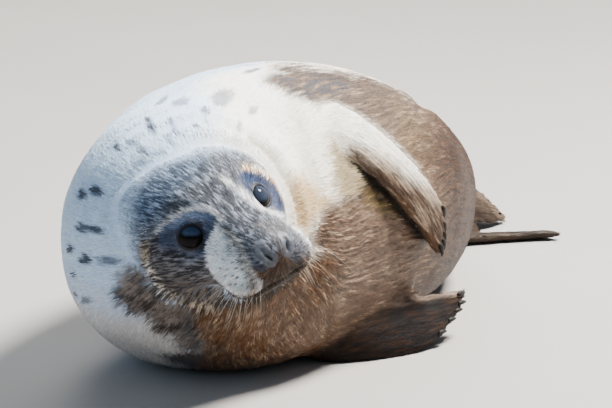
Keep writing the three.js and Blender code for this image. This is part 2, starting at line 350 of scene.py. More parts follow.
def smoothed(values: Array, edges: Array, passes: Array | float, pull: float = 0.5) -> Array:
    """Values spread over the mesh.

    Args:
        values: a number or a row for each vertex.
        edges: the mesh's edges.
        passes: how many times, which may differ from vertex to vertex.
        pull: how far each pass goes towards the neighbours' mean.

    Returns:
        The new values.
    """
    passes = np.broadcast_to(np.asarray(passes, float), (len(values),))
    values = values.copy()
    for i in range(int(math.ceil(passes.max()))):
        share = np.clip(passes - i, 0, 1) * pull
        moved = neighbour_mean(values, edges) - values
        values += moved * (share[:, None] if values.ndim > 1 else share)
    return values


def write_places(mesh: bpy.types.Mesh, name: str, places: Array) -> None:
    """Stores a place for each vertex, in metres."""
    store = mesh.attributes.new(name, "FLOAT_VECTOR", "POINT").data
    store.foreach_set("vector", places.astype(np.float32).ravel())


def write_attribute(mesh: bpy.types.Mesh, name: str, values: Array) -> None:
    """Stores a number or a colour for each vertex."""
    if values.ndim == 1:
        mesh.attributes.new(name, "FLOAT", "POINT").data.foreach_set("value", values.astype(np.float32))
        return
    rgba = np.ones((len(values), 4), np.float32)
    rgba[:, :3] = values
    mesh.attributes.new(name, "FLOAT_COLOR", "POINT").data.foreach_set("color", rgba.ravel())


class Wire:
    """A shader socket that takes part in Python arithmetic."""

    def __init__(self, sheet: "Sheet", socket: bpy.types.NodeSocket) -> None:
        """Wraps an output socket of the sheet's tree."""
        self.sheet = sheet
        self.socket = socket

    def _maths(self, operation: str, first: Any, second: Any) -> "Wire":
        """One Math node."""
        return self.sheet.node("Math", {"operation": operation}, {0: first, 1: second})

    def __add__(self, other: Any) -> "Wire":
        """Sum."""
        return self._maths("ADD", self, other)

    def __radd__(self, other: Any) -> "Wire":
        """Sum, reflected."""
        return self._maths("ADD", other, self)

    def __sub__(self, other: Any) -> "Wire":
        """Difference."""
        return self._maths("SUBTRACT", self, other)

    def __rsub__(self, other: Any) -> "Wire":
        """Difference, reflected."""
        return self._maths("SUBTRACT", other, self)

    def __mul__(self, other: Any) -> "Wire":
        """Product."""
        return self._maths("MULTIPLY", self, other)

    def __rmul__(self, other: Any) -> "Wire":
        """Product, reflected."""
        return self._maths("MULTIPLY", other, self)

    def clip(self, low: float, high: float) -> "Wire":
        """A smooth step from 0 at low to 1 at high."""
        settings = {"interpolation_type": "SMOOTHSTEP"}
        return self.sheet.node("MapRange", settings, {"Value": self, "From Min": low, "From Max": high})


class Sheet:
    """A material's node tree, with one method that makes any node."""

    def __init__(self, name: str) -> None:
        """Starts an empty material with a Principled surface."""
        self.material = bpy.data.materials.new(name)
        self.material.use_nodes = True
        self.tree = self.material.node_tree
        self.tree.nodes.clear()
        self.output = self.tree.nodes.new("ShaderNodeOutputMaterial")

    def node(
        self,
        kind: str,
        settings: dict[str, Any] | None = None,
        sockets: dict[Any, Any] | None = None,
        out: Any = 0,
    ) -> Wire:
        """Makes a shader node.

        Args:
            kind: the node's type without its ShaderNode prefix.
            settings: the node's own settings, set first.
            sockets: values or wires for its inputs, by name or number.
            out: the output to return.

        Returns:
            The output as a wire.
        """
        made = self.tree.nodes.new(f"ShaderNode{kind}")
        for name, value in (settings or {}).items():
            setattr(made, name, value)
        for name, value in (sockets or {}).items():
            if isinstance(value, Wire):
                self.tree.links.new(value.socket, made.inputs[name])
            else:
                made.inputs[name].default_value = value
        return Wire(self, made.outputs[out])

    def attribute(self, name: str, out: str = "Fac") -> Wire:
        """What the mesh holds at each vertex under a name."""
        return self.node("Attribute", {"attribute_name": name}, out=out)

    def noise(self, size: float, detail: float = 2.0, place: Wire | None = None) -> Wire:
        """Noise from 0 to 1.

        Args:
            size: length of one lump.
            detail: how many finer layers lie over the lumps.
            place: where to read it; the piece's own coordinates unless given.

        Returns:
            The noise.
        """
        place = place or self.node("TexCoord", out="Object")
        return self.node("TexNoise", {}, {"Vector": place, "Scale": 1 / size, "Detail": detail})

    def bump(self, height: Wire, strength: float, distance: float) -> Wire:
        """The normals of a surface with this height."""
        return self.node("Bump", {}, {"Height": height, "Strength": strength, "Distance": distance})

    def blend(self, first: Any, second: Any, share: Any) -> Wire:
        """Two colours mixed."""
        return self.node("Mix", {"data_type": "RGBA"}, {0: share, 6: first, 7: second}, out=2)

    def tinted(self, colour: Wire, factor: Any) -> Wire:
        """A colour made lighter or darker by a number."""
        return self.node("VectorMath", {"operation": "SCALE"}, {0: colour, "Scale": factor})

    def finish(self, **sockets: Any) -> bpy.types.Material:
        """Connects a Principled surface with these sockets, underscores standing for spaces."""
        named = {name.replace("_", " "): value for name, value in sockets.items()}
        shader = self.node("BsdfPrincipled", {}, named)
        self.tree.links.new(shader.socket, self.output.inputs["Surface"])
        return self.material


@dataclass(frozen=True)
class FurFinish:
    """What the skin's flat coat and the tufts share: a matt surface with a film of water where it is damp."""

    name: str
    matt: float
    damp_polish: float
    grain: float
    film_roughness: float
    film: float = 0.22
    specular: float = 0.12
    sheen: float = 0.02
    sheen_roughness: float = 0.5

    def surface(self, s: Sheet, colour: Wire, hair: Wire, **more: Wire) -> bpy.types.Material:
        """Connects the surface.

        Args:
            s: the material's sheet.
            colour: its base colour.
            hair: the pattern of its hair, from 0 to 1.
            **more: other sockets of the surface.

        Returns:
            The material.
        """
        wet = s.attribute("Wet")
        return s.finish(
            Base_Color=colour,
            Roughness=self.matt - self.damp_polish * wet + self.grain * hair,
            Specular_IOR_Level=self.specular,
            Coat_Weight=self.film * wet,
            Coat_Roughness=self.film_roughness,
            Sheen_Weight=self.sheen,
            Sheen_Roughness=self.sheen_roughness,
            **more,
        )


@dataclass(frozen=True)
class SkinFinish(FurFinish):
    """The flat coat on the skin: its markings, and fine strands along the lie, deeper where it is damp."""

    name: str = "skin_coat"
    matt: float = 0.74
    damp_polish: float = 0.30
    grain: float = 0.10
    film_roughness: float = 0.42
    body_strands: tuple[float, float] = (1.5 * MM, 4.5 * MM)
    face_strands: tuple[float, float] = (0.9 * MM, 2.4 * MM)
    depth: float = 1.6 * MM

    def _strands(self, s: Sheet, attribute: str, sizes: tuple[float, float]) -> Wire:
        """Fine and coarse noise along the lie of the coat."""
        place = s.attribute(attribute, "Vector")
        return 0.6 * s.noise(sizes[0], place=place) + 0.4 * s.noise(sizes[1], place=place)

    def build(self) -> bpy.types.Material:
        """Makes the material."""
        s = Sheet(self.name)
        face = s.attribute("Face")
        body = self._strands(s, "Comb", self.body_strands)
        hair = body * (1 - face) + self._strands(s, "CombFace", self.face_strands) * face
        relief = s.bump(hair * (0.7 + 0.6 * s.attribute("Wet")), 0.8, self.depth)
        return self.surface(s, s.tinted(s.attribute("Tint", "Color"), 0.55 + 0.9 * hair), hair, Normal=relief)


@dataclass(frozen=True)
class TuftFinish(FurFinish):
    """The tufts: the same markings, with fine grain."""

    name: str = "tuft_coat"
    matt: float = 0.76
    damp_polish: float = 0.32
    grain: float = 0.08
    film_roughness: float = 0.40
    speck: float = 1.4 * MM

    def build(self) -> bpy.types.Material:
        """Makes the material."""
        s = Sheet(self.name)
        specks = s.noise(self.speck)
        return self.surface(s, s.tinted(s.attribute("Tint", "Color"), 0.88 + 0.24 * specks), specks)


@dataclass(frozen=True)
class LeatherFinish:
    """Bare nose skin: slate grey, pebbled and a little moist."""

    name: str = "nose_leather"
    pebble: float = 1.3 * MM
    patch: float = 6 * MM
    depth: float = 0.35 * MM
    specular: float = 0.4

    def build(self) -> bpy.types.Material:
        """Makes the material, matt in the nostrils."""
        s = Sheet(self.name)
        place = s.node("TexCoord", out="Object")
        pebbles = s.node("TexVoronoi", {}, {"Vector": place, "Scale": 1 / self.pebble})
        patches = s.noise(self.patch, 3)
        return s.finish(
            Base_Color=s.tinted(s.attribute("Tint", "Color"), 0.7 + 0.6 * patches),
            Roughness=(0.38 + 0.25 * patches) + 0.5 * s.attribute("Hole"),
            Normal=s.bump(pebbles, 0.5, self.depth),
            Specular_IOR_Level=self.specular,
        )


@dataclass(frozen=True)
class LidFinish:
    """The wet dark edge of the lids."""

    name: str = "lid_edge"
    patch: float = 2 * MM
    specular: float = 0.3

    def build(self) -> bpy.types.Material:
        """Makes the material."""
        s = Sheet(self.name)
        patches = s.noise(self.patch)
        return s.finish(
            Base_Color=s.tinted(s.attribute("Tint", "Color"), 0.6 + 0.8 * patches),
            Roughness=0.30 + 0.2 * patches,
            Specular_IOR_Level=self.specular,
        )


@dataclass(frozen=True)
class EyeFinish:
    """A polished dark eye: black pupil, very dark brown iris with faint rays, greyer towards the lids.

    The rings are angles from the gaze in radians, and the painted reflection of the sky fades out before the
    last of them.
    """

    name: str = "eye_glass"
    pupil: Colour = (0.003, 0.003, 0.004, 1)
    iris_dark: Colour = (0.003, 0.003, 0.003, 1)
    iris_light: Colour = (0.007, 0.005, 0.005, 1)
    white: Colour = (0.006, 0.006, 0.007, 1)
    pupil_edge: tuple[float, float] = (0.30, 0.36)
    iris_edge: tuple[float, float] = (0.60, 0.72)
    sky_edge: tuple[float, float] = (0.54, 0.80)
    ray: float = 1.1 * MM
    index: float = 1.16

    def build(self) -> bpy.types.Material:
        """Makes the material."""
        s = Sheet(self.name)
        ring = s.attribute("Ring")
        rays = s.noise(self.ray)
        iris = s.blend(self.iris_dark, self.iris_light, rays)
        colour = s.blend(self.pupil, iris, ring.clip(*self.pupil_edge))
        colour = s.blend(colour, self.white, ring.clip(*self.iris_edge))
        # Painted reflection of the sky on the cornea, in the base colour.
        sky = s.attribute("PaintedSky").clip(0.0, 0.55) * (1 - ring.clip(*self.sky_edge))
        colour = s.blend(colour, s.attribute("SkyPaint", "Color"), sky)
        return s.finish(Base_Color=colour, Roughness=0.03 + 0.03 * rays, IOR=self.index)


@dataclass(frozen=True)
class HornFinish:
    """Dark horn of the claws, paler where it is worn, with fine grain."""

    name: str = "claw_horn"
    dark: Colour = (0.008, 0.007, 0.006, 1)
    worn: Colour = (0.030, 0.023, 0.018, 1)
    grain: float = 0.9 * MM
    patch: float = 5 * MM
    depth: float = 0.25 * MM
    specular: float = 0.25

    def build(self) -> bpy.types.Material:
        """Makes the material."""
        s = Sheet(self.name)
        grain = s.noise(self.grain, 4)
        return s.finish(
            Base_Color=s.blend(self.dark, self.worn, s.noise(self.patch).clip(0.4, 0.75)),
            Roughness=0.45 + 0.25 * grain,
            Normal=s.bump(grain, 0.4, self.depth),
            Specular_IOR_Level=self.specular,
        )


@dataclass(frozen=True)
class WhiskerFinish:
    """Stiff hairs, each with its own tone, a little uneven."""

    name: str = "whisker_horn"
    speck: float = 3 * MM
    patch: float = 8 * MM

    def build(self) -> bpy.types.Material:
        """Makes the material."""
        s = Sheet(self.name)
        colour = s.tinted(s.attribute("Tint", "Color"), 0.8 + 0.4 * s.noise(self.speck))
        return s.finish(Base_Color=colour, Roughness=0.35 + 0.1 * s.noise(self.patch))


@dataclass(frozen=True)
class FloorFinish:
    """A plain pale matt floor."""

    name: str = "studio_floor"
    dark: Colour = (0.36, 0.34, 0.325, 1)
    light: Colour = (0.42, 0.40, 0.385, 1)
    patch: float = 0.5

    def build(self) -> bpy.types.Material:
        """Makes the material."""
        s = Sheet(self.name)
        patches = s.noise(self.patch, 3)
        return s.finish(Base_Color=s.blend(self.dark, self.light, patches), Roughness=0.75 + 0.1 * patches)


# ---- Markings ----------------------------------------------------------------------------------------------
Outline = tuple[tuple[float, float], ...]


@dataclass(frozen=True)
class FrontView:
    """A flat view of the animal from in front, on which the outlines of markings are laid out.

    Its places are millimetres right and up at the distance of the head.
    """

    viewpoint_mm: Place = (90.9, -6083.2, 1582.8)
    ahead: Place = (0.0, 0.9744, -0.2250)
    above: Place = (0.0, 0.2250, 0.9744)
    distance_mm: float = 6000

    def places(self, points: Array) -> Array:
        """Where world places in metres lie in the view."""
        v = points / MM - np.array(self.viewpoint_mm)
        scale = self.distance_mm / (v @ np.array(self.ahead))
        return np.stack([v[:, 0] * scale, (v @ np.array(self.above)) * scale], 1)

    def facing(self, points: Array, normals: Array) -> Array:
        """How far the surface faces the view, from -1 to 1."""
        return -(normals * unit(points / MM - np.array(self.viewpoint_mm))).sum(1)


FRONT = FrontView()


@dataclass(frozen=True)
class Spot:
    """A dark mark on the coat: its place, half lengths along and across the lie, and strength."""

    at: Place
    along: float = 11
    across: float = 5
    strength: float = 0.6


@dataclass(frozen=True)
class Fold:
    """A crease of the turned neck: its line from in front, its depth and width, and those of the shade painted
    along it.
    """

    line: Outline
    depth_mm: float
    width_mm: float
    shade: float
    shade_width: float


# Marks on the neck and shoulders, in world millimetres.
NECK_SPOTS = (
    Spot((29, 59, 318), 24, 5, 0.5), Spot((-3, -54, 309), 26, 12, 0.42),
    Spot((-47, -73, 310), 22, 10, 0.4), Spot((-69, -46, 305), 22, 6, 0.45),
    Spot((-78, -137, 298), 26, 5, 0.62), Spot((-18, -108, 307), 12, 7, 0.5),
    Spot((-16, -132, 301), 14, 3, 0.5), Spot((-28, -145, 300), 9, 5, 0.55),
    Spot((-52, -151, 298), 17, 4, 0.55), Spot((-56, -171, 288), 14, 4, 0.3),
    Spot((18, -123, 293), 22, 3, 0.32), Spot((31, -69, 298), 12, 4, 0.4),
    Spot((-114, -153, 276), 11, 5, 0.62), Spot((-98, -158, 282), 11, 4, 0.4),
    Spot((-85, -176, 278), 14, 5, 0.5), Spot((-152, -161, 226), 13, 6, 0.75),
    Spot((-135, -181, 235), 13, 6, 0.65), Spot((-150, -182, 194), 13, 6, 0.6),
    Spot((-136, -199, 196), 18, 5, 0.62), Spot((-166, -158, 165), 10, 5, 0.7),
    Spot((-146, -191, 161), 11, 6, 0.72), Spot((-119, -217, 165), 18, 6, 0.5),
    Spot((-161, -163, 137), 6, 4, 0.6), Spot((-162, -146, 111), 8, 4, 0.5),
    Spot((-147, -172, 111), 18, 4, 0.45), Spot((-96, -213, 112), 10, 10, 0.95),
    Spot((-66, -224, 120), 12, 9, 0.7), Spot((-62, -216, 106), 14, 9, 0.8),
    Spot((-46, -220, 111), 10, 9, 0.6), Spot((-65, -200, 86), 10, 8, 0.95),
    Spot((-48, -206, 92), 12, 7, 0.7), Spot((-35, -124, 30), 26, 34, 0.85),
    Spot((-3, -155, 52), 20, 24, 0.5), Spot((-86, -232, 150), 10, 8, 0.7),
    Spot((-100, -214, 132), 22, 14, 0.55), Spot((-79, -222, 128), 24, 18, 0.6),
)
# Marks on the forehead and muzzle from in front: right, up, half width, half height and strength.
FACE_MARKS = (
    (-100.6, 11.8, 10.7, 7.5, 0.75), (-83.5, 8.6, 9.6, 5.9, 0.8), (-78.1, 1.1, 7.5, 6.4, 0.85),
    (-90.9, -5.3, 8.6, 4.3, 0.55), (-77.0, -16.0, 4.3, 3.2, 0.85), (-67.4, -6.4, 6.4, 3.2, 0.5),
    (-59.9, -8.6, 3.7, 2.1, 0.5), (-117.7, 12.8, 6.4, 3.2, 0.55), (-123.0, 5.3, 4.3, 1.6, 0.7),
    (-80.2, -33.2, 3.2, 5.9, 0.9), (-81.3, -48.1, 3.7, 7.0, 0.7), (-84.5, -58.8, 3.2, 5.4, 0.35),
    (-65.8, -43.3, 1.6, 3.2, 0.85), (-57.8, -28.9, 5.4, 2.7, 0.4), (-70.6, -26.7, 4.3, 3.2, 0.3),
    (-47.1, -19.3, 5.4, 2.7, 0.3), (-38.5, -31.0, 4.3, 3.2, 0.3), (-108.1, 1.1, 7.5, 3.2, 0.35),
    (-94.2, 21.4, 7.5, 5.4, 0.35), (-50.3, -34.2, 4.3, 3.2, 0.3),
)
# Follicles of the whiskers on the pads and beside the nostrils.
FOLLICLES = (
    (-73.8, -68.5), (-68.5, -62.1), (-67.4, -69.5), (-64.2, -78.1), (-72.8, -78.1), (-61.0, -72.8),
    (-57.8, -80.2), (-82.4, -68.5), (-85.6, -76.0), (-80.2, -85.6), (-74.9, -85.6), (-67.4, -85.6),
    (-62.1, -87.7), (-55.6, -87.7), (-89.9, -68.5), (-78.1, -62.1), (-70.6, -55.6), (-77.0, -76.0),
    (-52.4, -82.4), (-47.1, -66.3), (-43.9, -69.5), (-40.7, -63.1), (-50.3, -62.1), (-11.8, -44.9),
    (-7.5, -49.2), (-3.2, -46.0), (-8.6, -55.6), (-3.2, -53.5), (1.1, -51.4), (-5.3, -40.7),
    (-10.7, -37.4), (1.1, -44.9),
)
# Outlines and lines on the head from in front.
SLATE_NEAR: Outline = (
    (-142, -19), (-131, -11), (-118, -9), (-104, -10), (-95, -16), (-93, -24), (-98, -31), (-102, -36),
    (-106, -49), (-105, -58), (-118, -62), (-135, -58), (-150, -51), (-158, -39), (-152, -28),
)
MASK: Outline = (
    (-141, -19), (-152, -27), (-165, -35), (-171, -46), (-169, -60), (-163, -76), (-150, -90),
    (-134, -100), (-118, -105), (-97, -106), (-73, -98), (-88, -88), (-98, -76), (-105, -65), (-106, -49),
    (-101, -36), (-93, -24), (-113, -12),
)
PAD_NEAR: Outline = (
    (-93, -24), (-101, -36), (-106, -49), (-105, -65), (-98, -76), (-87, -88), (-72, -96), (-59, -97),
    (-49, -91), (-48, -81), (-52, -73), (-57, -62), (-62, -51), (-67, -42), (-75, -33), (-83, -26),
)
SLATE_FAR: Outline = (
    (-72, 25), (-70, 30), (-65, 34), (-52, 31), (-42, 25), (-34, 18), (-28, 7), (-24, -2), (-22, -13),
    (-31, -9), (-52, -2), (-65, 6), (-72, 16),
)
NOSE_NEAR: Outline = (
    (-67, -42), (-58, -41), (-47, -44), (-38, -51), (-32, -59), (-36, -66), (-47, -73), (-55, -68),
    (-60, -57),
)
NOSE_FAR: Outline = ((-25, -30), (-15, -29), (-6, -41), (-3, -55), (-10, -63), (-18, -58), (-21, -45))
UNDER_NOSE: Outline = (
    (-56, -66), (-47, -72), (-36, -66), (-31, -56), (-26, -49), (-19, -58), (-9, -63), (3, -62), (5, -65),
    (-11, -75), (-25, -87), (-47, -97), (-51, -98), (-47, -90), (-48, -81), (-52, -73),
)
CROWN: Outline = (
    (-178, 13), (-167, 33), (-151, 45), (-133, 50), (-113, 50), (-105, 42), (-110, 31), (-121, 22),
    (-134, 14), (-146, 2), (-154, -10), (-166, -20), (-177, -21), (-183, -4),
)
CHIN: Outline = (
    (7, -62), (3, -67), (-11, -75), (-25, -87), (-47, -97), (-71, -103), (-92, -109), (-90, -135),
    (-6, -135), (15, -103),
)
FRINGE: Outline = (
    (-167, -29), (-171, -46), (-170, -62), (-162, -78), (-148, -92), (-131, -102), (-111, -108),
    (-97, -109),
)
BRIDGE_LIGHT: Outline = (
    (-88, 27), (-78, 19), (-70, 13), (-60, 4), (-51, -2), (-41, -7), (-31, -11), (-20, -17), (-11, -25),
    (0, -35), (6, -45), (9, -57),
)
BROW_LIGHT: Outline = (
    (-156, -29), (-149, -21), (-139, -15), (-128, -8), (-117, -5), (-105, -6), (-95, -11), (-90, -17),
)
PAD_RIM = PAD_NEAR[:10]
RIM_FAR: Outline = ((-64, 37), (-52, 35), (-41, 29), (-31, 19), (-24, 6), (-18, -9))
# Outlines and lines on the trunk and flippers from in front.
CHEST_WHITE: Outline = (
    (-71, 122), (-6, 111), (42, 77), (49, 47), (61, 32), (62, 21), (51, 7), (34, 4), (21, -1), (12, -12),
    (0, -32), (-6, -45), (-22, -12), (-55, 36),
)
# Painted shade: the hollow between the chest and the left flipper.
HOLLOW_SHADE: Outline = (
    (27, 81), (36, 75), (44, 58), (50, 46), (64, 30), (67, 11), (53, 1), (37, 1), (28, 15), (25, 36),
    (22, 60),
)
OCHRE_CHEST: Outline = (
    (-19, 28), (-4, 30), (11, 15), (26, 0), (13, -13), (4, -26), (-3, -39), (-12, -26), (-18, -1),
)
OLIVE: Outline = ((59, 30), (71, 19), (83, 4), (96, -11), (83, -11), (68, -2), (60, 6), (56, 19))
# The top of the back from in front, toned as sunlit cream: painted light over the coat's own cream.
CREAM_LIT_BAND: Outline = (
    (-47, 186), (-47, 150), (-28, 148), (-9, 149), (30, 144), (74, 136), (98, 126), (108, 120), (118, 112),
    (154, 122), (143, 186),
)
FLANK_GREY: Outline = (
    (-45, 141), (-22, 144), (4, 142), (31, 137), (49, 128), (41, 113), (15, 112), (-6, 113), (-22, 117),
    (-39, 125),
)
THROAT: Outline = (
    (-128, -101), (-113, -103), (-101, -100), (-76, -101), (-47, -92), (-24, -79), (-6, -62), (17, -47),
    (32, -62), (32, -140), (-6, -182), (-98, -184), (-107, -158), (-110, -148), (-117, -139), (-122, -126),
    (-127, -113),
)
GREY_FOLD: Outline = (
    (-188, -62), (-171, -77), (-158, -92), (-146, -100), (-126, -105), (-116, -107), (-114, -126),
    (-108, -150), (-118, -162), (-132, -156), (-143, -144), (-158, -136), (-171, -122), (-184, -114),
    (-195, -104), (-201, -90), (-199, -73),
)
UNDER_PAD: Outline = (
    (-124, -88), (-107, -92), (-88, -96), (-73, -98), (-60, -96), (-47, -91), (-24, -77), (-6, -60),
    (-1, -67), (-21, -87), (-43, -101), (-60, -107), (-79, -110), (-98, -109), (-116, -106),
)
FLIPPER_SHADE: Outline = ((40, 72), (59, 62), (85, 50), (97, 40), (88, 24), (67, 36), (47, 47))
# Where a painted rim light runs along the back's edge.
BACK_RIM_LIGHT: Outline = ((128, 104), (139, 95), (151, 82))
CREVICE: Outline = ((49, 45), (62, 31), (76, 18), (90, 3), (103, -12), (115, -26), (126, -41))
FOLDS = (
    Fold(((-60, 68), (-46, 58), (-35, 46), (-26, 30), (-17, 14), (-10, -2), (-5, -21)), 3.6, 5.5, 0.75, 4.5),
    Fold(((-15, 103), (-6, 79), (-2, 58), (3, 31), (9, 4)), 1.6, 8, 0.32, 7),
    Fold(((31, 81), (37, 68), (44, 56), (49, 45)), 2.2, 6, 0.5, 6),
)
RIGHT_EDGE: Outline = (
    (49, -116), (60, -108), (77, -105), (101, -103), (120, -98), (143, -93), (160, -93), (175, -98),
)
HIND_EDGE: Outline = ((186, 11), (197, 4), (208, -11), (217, -16))
# Where painted shade runs along the contact by the right foreflipper.
RIGHT_CONTACT_SHADE: Outline = ((-6, -160), (13, -147), (29, -134), (45, -122), (60, -109))


@dataclass(frozen=True)
class Palette:
    """The coat's tones, as plain light shares."""

    # The silver holds a painted blue cast of sky light.
    silver_sky_tinted: Tone = (0.57, 0.73, 0.95)
    white: Tone = (0.88, 0.87, 0.84)
    cream: Tone = (0.86, 0.78, 0.61)
    tan: Tone = (0.125, 0.076, 0.049)
    tan_pale: Tone = (0.33, 0.235, 0.16)
    tan_dark: Tone = (0.044, 0.025, 0.015)
    taupe: Tone = (0.078, 0.058, 0.048)
    ochre: Tone = (0.140, 0.098, 0.042)
    rust: Tone = (0.078, 0.034, 0.012)
    spot: Tone = (0.070, 0.085, 0.115)
    pepper: Tone = (0.042, 0.046, 0.056)
    hair: Tone = (0.26, 0.29, 0.345)
    crown_dark: Tone = (0.040, 0.058, 0.092)
    crown_pale: Tone = (0.23, 0.30, 0.41)
    slate: Tone = (0.050, 0.072, 0.130)
    slate_pale: Tone = (0.110, 0.150, 0.240)
    soot: Tone = (0.020, 0.019, 0.022)
    mask: Tone = (0.19, 0.19, 0.215)
    back: Tone = (0.20, 0.225, 0.26)
    # Painted shade in the folds of the neck.
    crease_shade: Tone = (0.36, 0.30, 0.20)
    sunlit: Tone = (0.93, 0.80, 0.60)
    mask_brown: Tone = (0.13, 0.092, 0.060)
    lip_dark: Tone = (0.022, 0.012, 0.008)
    beard_warm: Tone = (0.24, 0.145, 0.085)
    brow: Tone = (0.84, 0.85, 0.87)
    rim_brown: Tone = (0.36, 0.20, 0.09)
    fringe_dark: Tone = (0.026, 0.019, 0.014)
    flipper_pale: Tone = (0.38, 0.30, 0.23)
    flipper_back: Tone = (0.30, 0.24, 0.19)
    # Painted shade on the left flipper's root by the crevice.
    flipper_root_shade: Tone = (0.22, 0.16, 0.11)
    flipper_shade: Tone = (0.25, 0.185, 0.135)
    # Painted shadow in the crevice under the left flipper.
    crevice_shadow: Tone = (0.010, 0.008, 0.006)
    # Dark and light strands of one patch.
    olive: Tones = ((0.055, 0.036, 0.008), (0.15, 0.105, 0.040))
    pad: Tones = ((0.68, 0.84, 0.94), (0.90, 0.93, 0.94))
    pad_speckled: Tones = ((0.24, 0.235, 0.235), (0.62, 0.59, 0.54))
    muzzle_end: Tones = ((0.09, 0.09, 0.10), (0.19, 0.19, 0.20))
    nose: Tones = ((0.052, 0.060, 0.080), (0.17, 0.18, 0.215))
    lips: Tones = ((0.048, 0.021, 0.009), (0.13, 0.072, 0.036))
    cheek: Tones = ((0.026, 0.020, 0.017), (0.19, 0.155, 0.13))
    # Dark brown hair below the pad, darkened further as painted shade.
    under_pad_shaded: Tones = ((0.014, 0.008, 0.005), (0.085, 0.055, 0.034))
    fringe: Tones = ((0.40, 0.33, 0.25), (0.80, 0.74, 0.66))
    left_flipper: Tones = ((0.050, 0.029, 0.018), (0.21, 0.15, 0.105))
    # The right flipper's dark brown, darkened further as painted shade.
    right_flipper_shaded: Tones = ((0.005, 0.003, 0.003), (0.024, 0.011, 0.005))
    right_edge: Tones = ((0.09, 0.062, 0.046), (0.24, 0.175, 0.135))
    # What the tones below are multiplied by.
    hips_cast: Tone = (0.28, 0.215, 0.18)
    # Painted shade in the hollow between the chest and the left flipper.
    hollow_shade_cast: Tone = (0.34, 0.28, 0.19)
    # Painted shade along the fold that runs down to the crevice.
    fold_shade_cast: Tone = (0.45, 0.46, 0.44)
    ochre_cast: Tone = (0.62, 0.47, 0.30)
    low_cast: Tone = (1.22, 0.93, 0.70)
    far_slate_cast: Tone = (0.21, 0.31, 0.50)
    # Bare skin of the face.
    leather: Tone = (0.068, 0.076, 0.096)
    eye_ring: Tone = (0.100, 0.098, 0.120)
    lid: Tone = (0.014, 0.013, 0.015)
    # Near black painted into the nostrils, the mouth's line and the ear holes as shade.
    opening: Tone = (0.004, 0.004, 0.004)


@dataclass(frozen=True)
class Grain:
    """Noise over the places that are being toned: strands along the lie, and lumps of three sizes."""

    streak: Array
    mid: Array
    fine: Array
    broad: Array | None = None
    comb: Array | None = None


# How pale the streaks of the hind flippers and the tail are.
PALE_STREAKS = {Part.HINDFLIPPER_LEFT: 0.6, Part.HINDFLIPPER_RIGHT: 0.3, Part.TAIL: 0.4}


